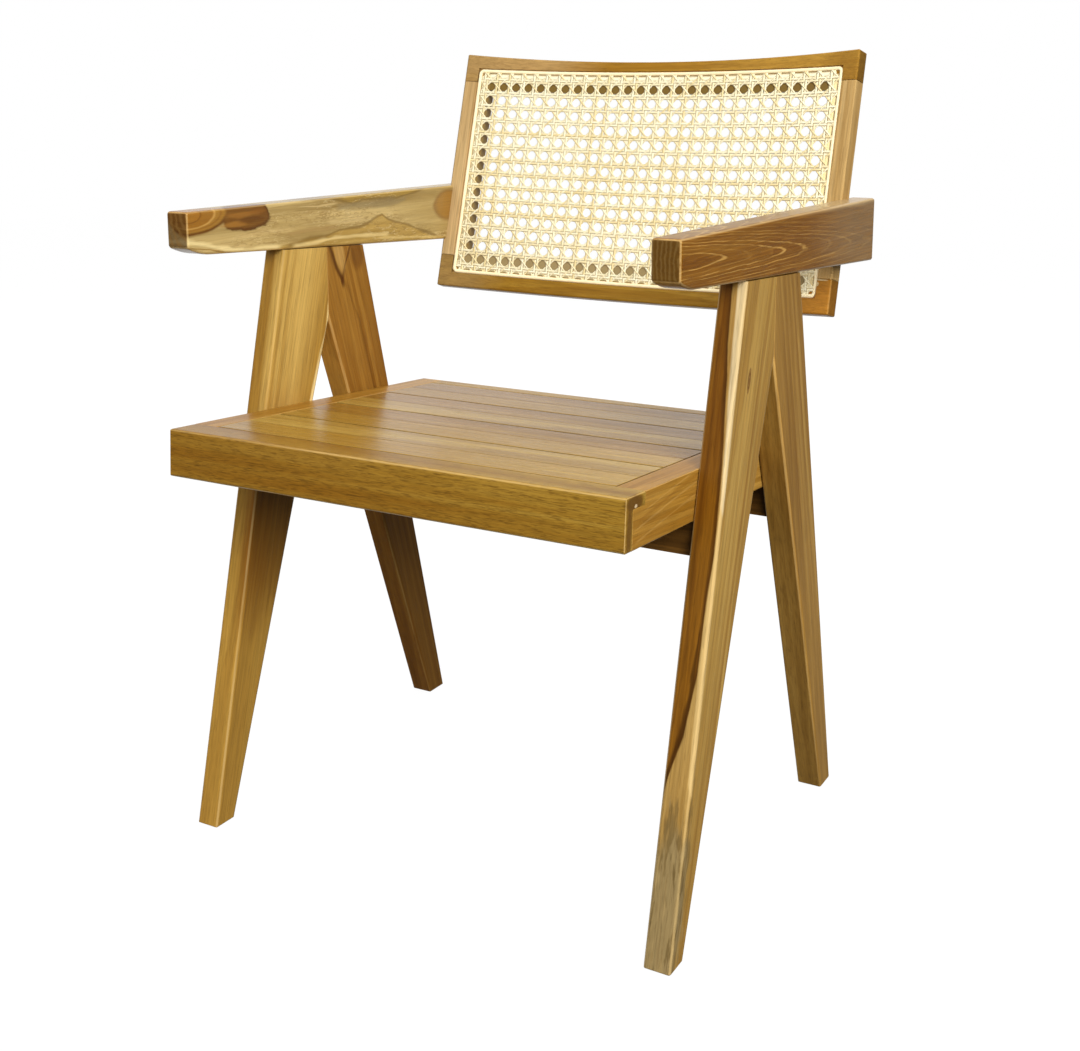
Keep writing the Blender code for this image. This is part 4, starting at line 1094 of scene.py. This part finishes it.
def makeStile(side):
    b = backShape
    end = b["endEase"]
    low, high = b["bottomJoint"] + b["gap"], b["height"] - b["topJoint"] - b["gap"]
    sections = []
    for v, inset in ((low, end), (low + end, 0), ((low + high) / 2, 0), (high - end, 0), (high, end)):
        section = backSection(b["stileReach"], inset)
        points = [backPoint(sides[side] * (b["reach"] - d), w, v) for d, w in section]
        sections.append([onEnd.inverted() @ point for point in points])
    stile = loft(f"teak_back_stile_{side}", sections, backFrame @ onEnd, rebated=b["rebated"])
    settle(stile, backTeak[side], "teak_back", f"back_stile_{side}")


for place in ("top", "bottom"):
    makeBackRail(place)
for side in sides:
    makeStile(side)
print("back frame joined")

# Cane webbing: pairs of strands up and across, and single diagonals that lock them
caneShape = {
    "holesAcross": 27, "holesUp": 14, "pitchAcross": 0.0162, "pitchUp": 0.0163,
    "shift": -0.0008, "drop": 0.0018, "pairHalf": 0.0016, "strand": 0.003, "diagonal": 0.002,
    "thickness": 0.00044, "sway": 0.0002,
    "depth": 0.0017, "lift": 0.00026, "diagonalLift": 0.0004, "diagonalSteps": 8, "shortest": 4,
    "margin": 0.0202,
    "edgeAt": 0.0258, "edgeWidth": 0.0066, "edgeLift": 0.0007, "edgeStepsAcross": 48, "edgeStepsUp": 12,
    "seed": 5, "toneSpread": 0.30, "darkShare": 0.12, "darkTone": (0.7, 1.3),
    "pale": (240, 232, 200), "tan": (226, 206, 150),
}
caneLook = {
    "mottle": 60.0, "fleck": 420.0, "flecks": (0.60, 0.78), "fleckDark": 0.82,
    "toneShare": -0.55, "mottleShare": 0.5, "tanRange": (0.05, 0.75),
    "roughness": 0.32, "dulled": 0.25, "relief": 0.0002, "bump": 0.5, "ior": 1.45,
    "paintedGlowColour": (255, 240, 196), "paintedGlowStrength": 0.15,  # painted glow, standing in for light that comes through the thin strips
}


def caneFinish(name, pale, tan):
    look = caneLook
    material, tree = newFinish(name)
    place = put(tree, "ShaderNodeTexCoord", out="Object")
    tone = put(tree, "ShaderNodeAttribute", out="Fac", attribute_name="strandTone")
    mottle = place.noise(look["mottle"], 3.0)
    flecks = place.noise(look["fleck"], 2.0).ease(*look["flecks"])
    share = (tone * look["toneShare"] + mottle * look["mottleShare"]).ease(*look["tanRange"])
    feed(tree, {
        "Base Color": share.blend(tint(pale), tint(tan)).shade(flecks.ease(0.0, 1.0, 1.0, look["fleckDark"])),
        "Roughness": mottle * look["dulled"] + look["roughness"],
        "Normal": (mottle * look["relief"]).bump(look["bump"]),
        "IOR": look["ior"],
        # painted glow: the strips glow, standing in for light through them
        "Emission Color": tint(look["paintedGlowColour"]),
        "Emission Strength": look["paintedGlowStrength"],
    })
    return material


def makeCane():
    c, b = caneShape, backShape
    lots = random.Random(c["seed"])
    bm = bmesh.new()
    toneLayer = bm.verts.layers.float.new("strandTone")
    # first of each pair is for u, across the sheet, and second for v, up the sheet
    holes, pitches = (c["holesAcross"], c["holesUp"]), (c["pitchAcross"], c["pitchUp"])
    middles = (c["shift"], b["height"] / 2 - c["drop"])
    left, right = c["margin"] - b["reach"], b["reach"] - c["margin"]
    bottom, top = c["margin"], b["height"] - c["margin"]
    limits = ((left, right), (bottom, top))

    def band(way, number):
        return middles[way] + (number - holes[way] / 2) * pitches[way]

    # one strand along (u, v, lift) points, as a flat lens in section
    def strand(path, width):
        tone = lots.gauss(0, c["toneSpread"])
        if lots.random() < c["darkShare"]:
            tone -= lots.uniform(*c["darkTone"])
        half = width / 2
        rows = []
        for i, (u, v, lift) in enumerate(path):
            ahead, behind = path[min(i + 1, len(path) - 1)], path[max(i - 1, 0)]
            run = Vector((ahead[0] - behind[0], ahead[1] - behind[1])).normalized()
            row = []
            for side, rise in ((-1, 0), (0, -1), (1, 0), (0, 1)):
                w = c["depth"] + lift + rise * c["thickness"] / 2
                vert = bm.verts.new(backPoint(u - run.y * half * side, w, v + run.x * half * side))
                vert[toneLayer] = tone
                row.append(vert)
            rows.append(row)
        skin(bm, rows)

    # keys are (position, lift) along a straight strand, cut off at both ends of the sheet
    def between(keys, low, high):
        made = []
        for (p, lift), (q, other) in zip(keys, keys[1:]):
            for share in (0.0, 0.5):
                rise = 0.5 - 0.5 * math.cos(math.pi * share)
                made.append((p + (q - p) * share, lift + (other - lift) * rise))
        made.append(keys[-1])
        inside = [key for key in made if low < key[0] < high]
        return [(low, 0.0)] + inside + [(high, 0.0)]

    # pairs of strands go over and under the pairs that cross them
    a = c["pairHalf"]
    for way, over in ((0, -1), (1, 1)):
        crossing = 1 - way
        low, high = limits[way]
        for k in range(-1, holes[way] + 2):
            for side in (-1, 1):
                own = band(way, k) + side * a
                if not low < own < high:
                    continue
                keys = []
                for row in range(-1, holes[crossing] + 2):
                    knot, lift = band(crossing, row), over * side * c["lift"]
                    keys += [(knot - a, lift), (knot + a, -lift), (band(crossing, row + 0.5), 0.0)]
                own += lots.uniform(-c["sway"], c["sway"])
                run = between(keys, *limits[crossing])
                strand([(p, own, z) if way else (own, p, z) for p, z in run], c["strand"])

    # diagonals cross each other on the bands, halfway between two knots
    steps = c["diagonalSteps"]
    for way in (1, -1):
        for start in range(-c["holesUp"] - 3, c["holesAcross"] + c["holesUp"] + 4):
            path = []
            for step in range(-steps, steps * (c["holesUp"] + 2)):
                row = step / steps
                u, v = band(0, start + 0.5 + way * row), band(1, row)
                if left < u < right and bottom < v < top:
                    path.append((u, v, -way * c["diagonalLift"] * math.cos(2 * math.pi * row)))
            if len(path) > c["shortest"]:
                strand(path, c["diagonal"])

    # the edge of the sheet is packed close where it turns down to the groove
    edgeU, low, high = b["reach"] - c["edgeAt"], c["edgeAt"], b["height"] - c["edgeAt"]
    lift, across, up = c["edgeLift"], c["edgeStepsAcross"], c["edgeStepsUp"]
    for v in (low, high):
        strand([(edgeU * (i / (across / 2) - 1), v, lift) for i in range(across + 1)], c["edgeWidth"])
    for u in (-edgeU, edgeU):
        strand([(u, low + (high - low) * i / up, lift) for i in range(up + 1)], c["edgeWidth"])

    cane = smoothPiece("cane_webbing", bm, backFrame)
    settle(cane, caneFinish("caneStrands", c["pale"], c["tan"]), "woven_cane", "cane_panel")


makeCane()
print("cane woven")

# Reed splines, tapped into the groove round the cane and bent a little at the corners
splineShape = {
    "inset": 0.0196, "width": 0.0040, "crown": 0.0004, "crownSteps": 6, "shoulder": 0.0022, "seat": 0.0034,
    "corner": 0.0040, "steps": 40, "sharpAbove": 50, "pale": (252, 238, 198), "tan": (236, 210, 154),
}


def makeSplines():
    s, b = splineShape, backShape
    r, steps, middle = s["corner"], s["steps"], b["height"] / 2
    reed = caneFinish("reedSpline", s["pale"], s["tan"])
    shape = [(-1.0, s["seat"])]
    for step in range(s["crownSteps"] + 1):
        angle = math.pi * step / s["crownSteps"]
        shape.append((-math.cos(angle), s["shoulder"] - (s["shoulder"] - s["crown"]) * math.sin(angle)))
    shape.append((1.0, s["seat"]))

    # anticlockwise round the sheet, each strip from the middle of one corner to the middle of the next
    u, v = b["reach"] - s["inset"] - r, middle - s["inset"] - r
    corners = [(u, -v), (u, v), (-u, v), (-u, -v), (u, -v)]
    for number, place in enumerate(("right", "top", "left", "bottom")):
        start = 90 * number
        entry = [Vector(p) for p in arc(corners[number], r, start - 45, 45, 3)]
        leave = [Vector(p) for p in arc(corners[number + 1], r, start, 45, 3)]
        straight = [entry[-1].lerp(leave[0], i / steps) for i in range(1, steps)]
        path = entry + straight + leave
        sections = []
        for i, point in enumerate(path):
            run = (path[min(i + 1, len(path) - 1)] - path[max(i - 1, 0)]).normalized()
            out = Vector((run.y, -run.x)) * s["width"] / 2
            row = []
            for k, w in shape:
                row.append(backPoint(point.x + out.x * k, w, middle + point.y + out.y * k))
            sections.append(row)
        piece = loft(f"reed_spline_{place}", sections, backFrame, s["sharpAbove"])
        settle(piece, reed, "reed_spline", f"cane_spline_{place}")


makeSplines()
print("splines tapped in")

# Solids that stay: cross rails, dowels and screws
keptTeak = teakFinish(
    "teakCrossRails", seed=81, dark=(70, 44, 14), mid=(94, 62, 22), pale=(114, 78, 32), roughness=0.45,
    wear=0.0,
)
keptBeech = teakFinish(
    "beechDowels", seed=85, dark=(176, 138, 88), mid=(196, 160, 110), pale=(214, 182, 134), lineShow=0.1,
    roughness=0.6, endDark=0.9, wear=0.0,
)
screwLook = {
    "cloud": 900.0, "dark": (168, 170, 172), "pale": (206, 206, 204), "roughness": (0.3, 0.7, 0.25, 0.45),
}


def screwFinish():
    material, tree = newFinish("zincScrews")
    cloud = put(tree, "ShaderNodeTexCoord", out="Object").noise(screwLook["cloud"], 3.0)
    feed(tree, {
        "Base Color": cloud.blend(tint(screwLook["dark"]), tint(screwLook["pale"])),
        "Roughness": cloud.ease(*screwLook["roughness"]),
        "Metallic": 1.0,
    })
    return material


keptSteel = screwFinish()
for name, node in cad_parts.items():
    if node.hide_render:
        continue
    finish = keptTeak if "rail" in name else keptBeech if "dowel" in name else keptSteel
    node.data.materials.clear()
    node.data.materials.append(finish)
print("solids kept:", sum(not node.hide_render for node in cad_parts.values()))

# Floor, light and camera
studio = {
    "skyLight": 0.44, "groundLight": 0.10, "horizon": 0.25,
    "backdrop": 0.86, "room": 0.07, "backdropAside": -1.2, "backdropEdge": (0.60, 1.20),
    "floorSize": 12.0, "floorDrop": 0.0005, "floorGrey": 0.06, "floorRoughness": 0.9, "floorGlow": 0.97,
    "lamps": {
        "key": {"at": (2.3, -2.1, 2.2), "size": 2.2, "watts": 146},
        "fill": {"at": (-1.6, -2.8, 1.6), "size": 2.0, "watts": 20},
        "top": {"at": (-0.3, 1.2, 2.8), "size": 2.2, "watts": 22},
        "rear": {"at": (-1.6, 2.6, 1.7), "size": 2.0, "watts": 40},
    },
    "aim": (0.0, 0.0, 0.42),
}
camera = {
    "at": (0.7223, -1.2697, 0.7449), "tilt": 79.47, "turn": 29.65,
    "lens": 47.93, "sensor": 36, "shiftY": -0.1544,
}
white = (1, 1, 1, 1)


def lightRoom(scene):
    scene.view_settings.view_transform = "Standard"
    scene.world = bpy.data.worlds.new("studioWhite")
    scene.world.use_nodes = True
    tree = scene.world.node_tree
    right, rear, up = put(tree, "ShaderNodeTexCoord", out="Generated").parts()
    horizon = studio["horizon"]
    light = up.ease(-horizon, horizon, studio["groundLight"], studio["skyLight"], "LINEAR")
    # reflections: a white backdrop behind the chair and to its left, a dim room elsewhere
    sockets = {0: right, 1: studio["backdropAside"], 2: rear}
    aside = put(tree, "ShaderNodeMath", sockets, operation="MULTIPLY_ADD")
    mirrored = aside.ease(*studio["backdropEdge"], studio["room"], studio["backdrop"], "LINEAR")
    for kind, seen in (("Is Glossy Ray", mirrored), ("Is Camera Ray", 1.0)):
        ray = put(tree, "ShaderNodeLightPath", out=kind)
        light = put(tree, "ShaderNodeMix", {0: ray, 2: light, 3: seen})
    connect(tree.nodes["Background"], {"Color": white, "Strength": light})


def layFloor(scene):
    bm = bmesh.new()
    bmesh.ops.create_grid(bm, x_segments=1, y_segments=1, size=studio["floorSize"] / 2)
    mesh = bpy.data.meshes.new("studioFloor")
    bm.to_mesh(mesh)
    bm.free()
    floor = bpy.data.objects.new("studioFloor", mesh)
    floor.location.z = -studio["floorDrop"]
    scene.collection.objects.link(floor)
    paper, tree = newFinish("studioFloorPaper")
    feed(tree, {
        "Base Color": (studio["floorGrey"],) * 3 + (1,),
        "Roughness": studio["floorRoughness"],
        "Specular IOR Level": 0.0,
        "Emission Color": white,
        "Emission Strength": studio["floorGlow"],
    })
    floor.data.materials.append(paper)
    floor.visible_diffuse = False
    floor.visible_glossy = False


def hangLamps(scene):
    for name, lamp in studio["lamps"].items():
        bulb = bpy.data.lights.new(name, "AREA")
        bulb.shape = "DISK"
        bulb.size = lamp["size"]
        bulb.energy = lamp["watts"]
        holder = bpy.data.objects.new(name, bulb)
        holder.location = lamp["at"]
        aim = Vector(studio["aim"]) - Vector(lamp["at"])
        holder.rotation_euler = aim.to_track_quat("-Z", "Y").to_euler()
        holder.visible_glossy = False
        scene.collection.objects.link(holder)


def standCamera(scene):
    eye = bpy.data.cameras.new("photoCamera")
    eye.sensor_fit = "HORIZONTAL"
    eye.sensor_width = camera["sensor"]
    eye.lens = camera["lens"]
    eye.shift_y = camera["shiftY"]
    stand = bpy.data.objects.new("photoCamera", eye)
    stand.location = camera["at"]
    stand.rotation_euler = (math.radians(camera["tilt"]), 0, math.radians(camera["turn"]))
    scene.collection.objects.link(stand)
    scene.camera = stand


scene = bpy.context.scene
lightRoom(scene)
layFloor(scene)
hangLamps(scene)
standCamera(scene)
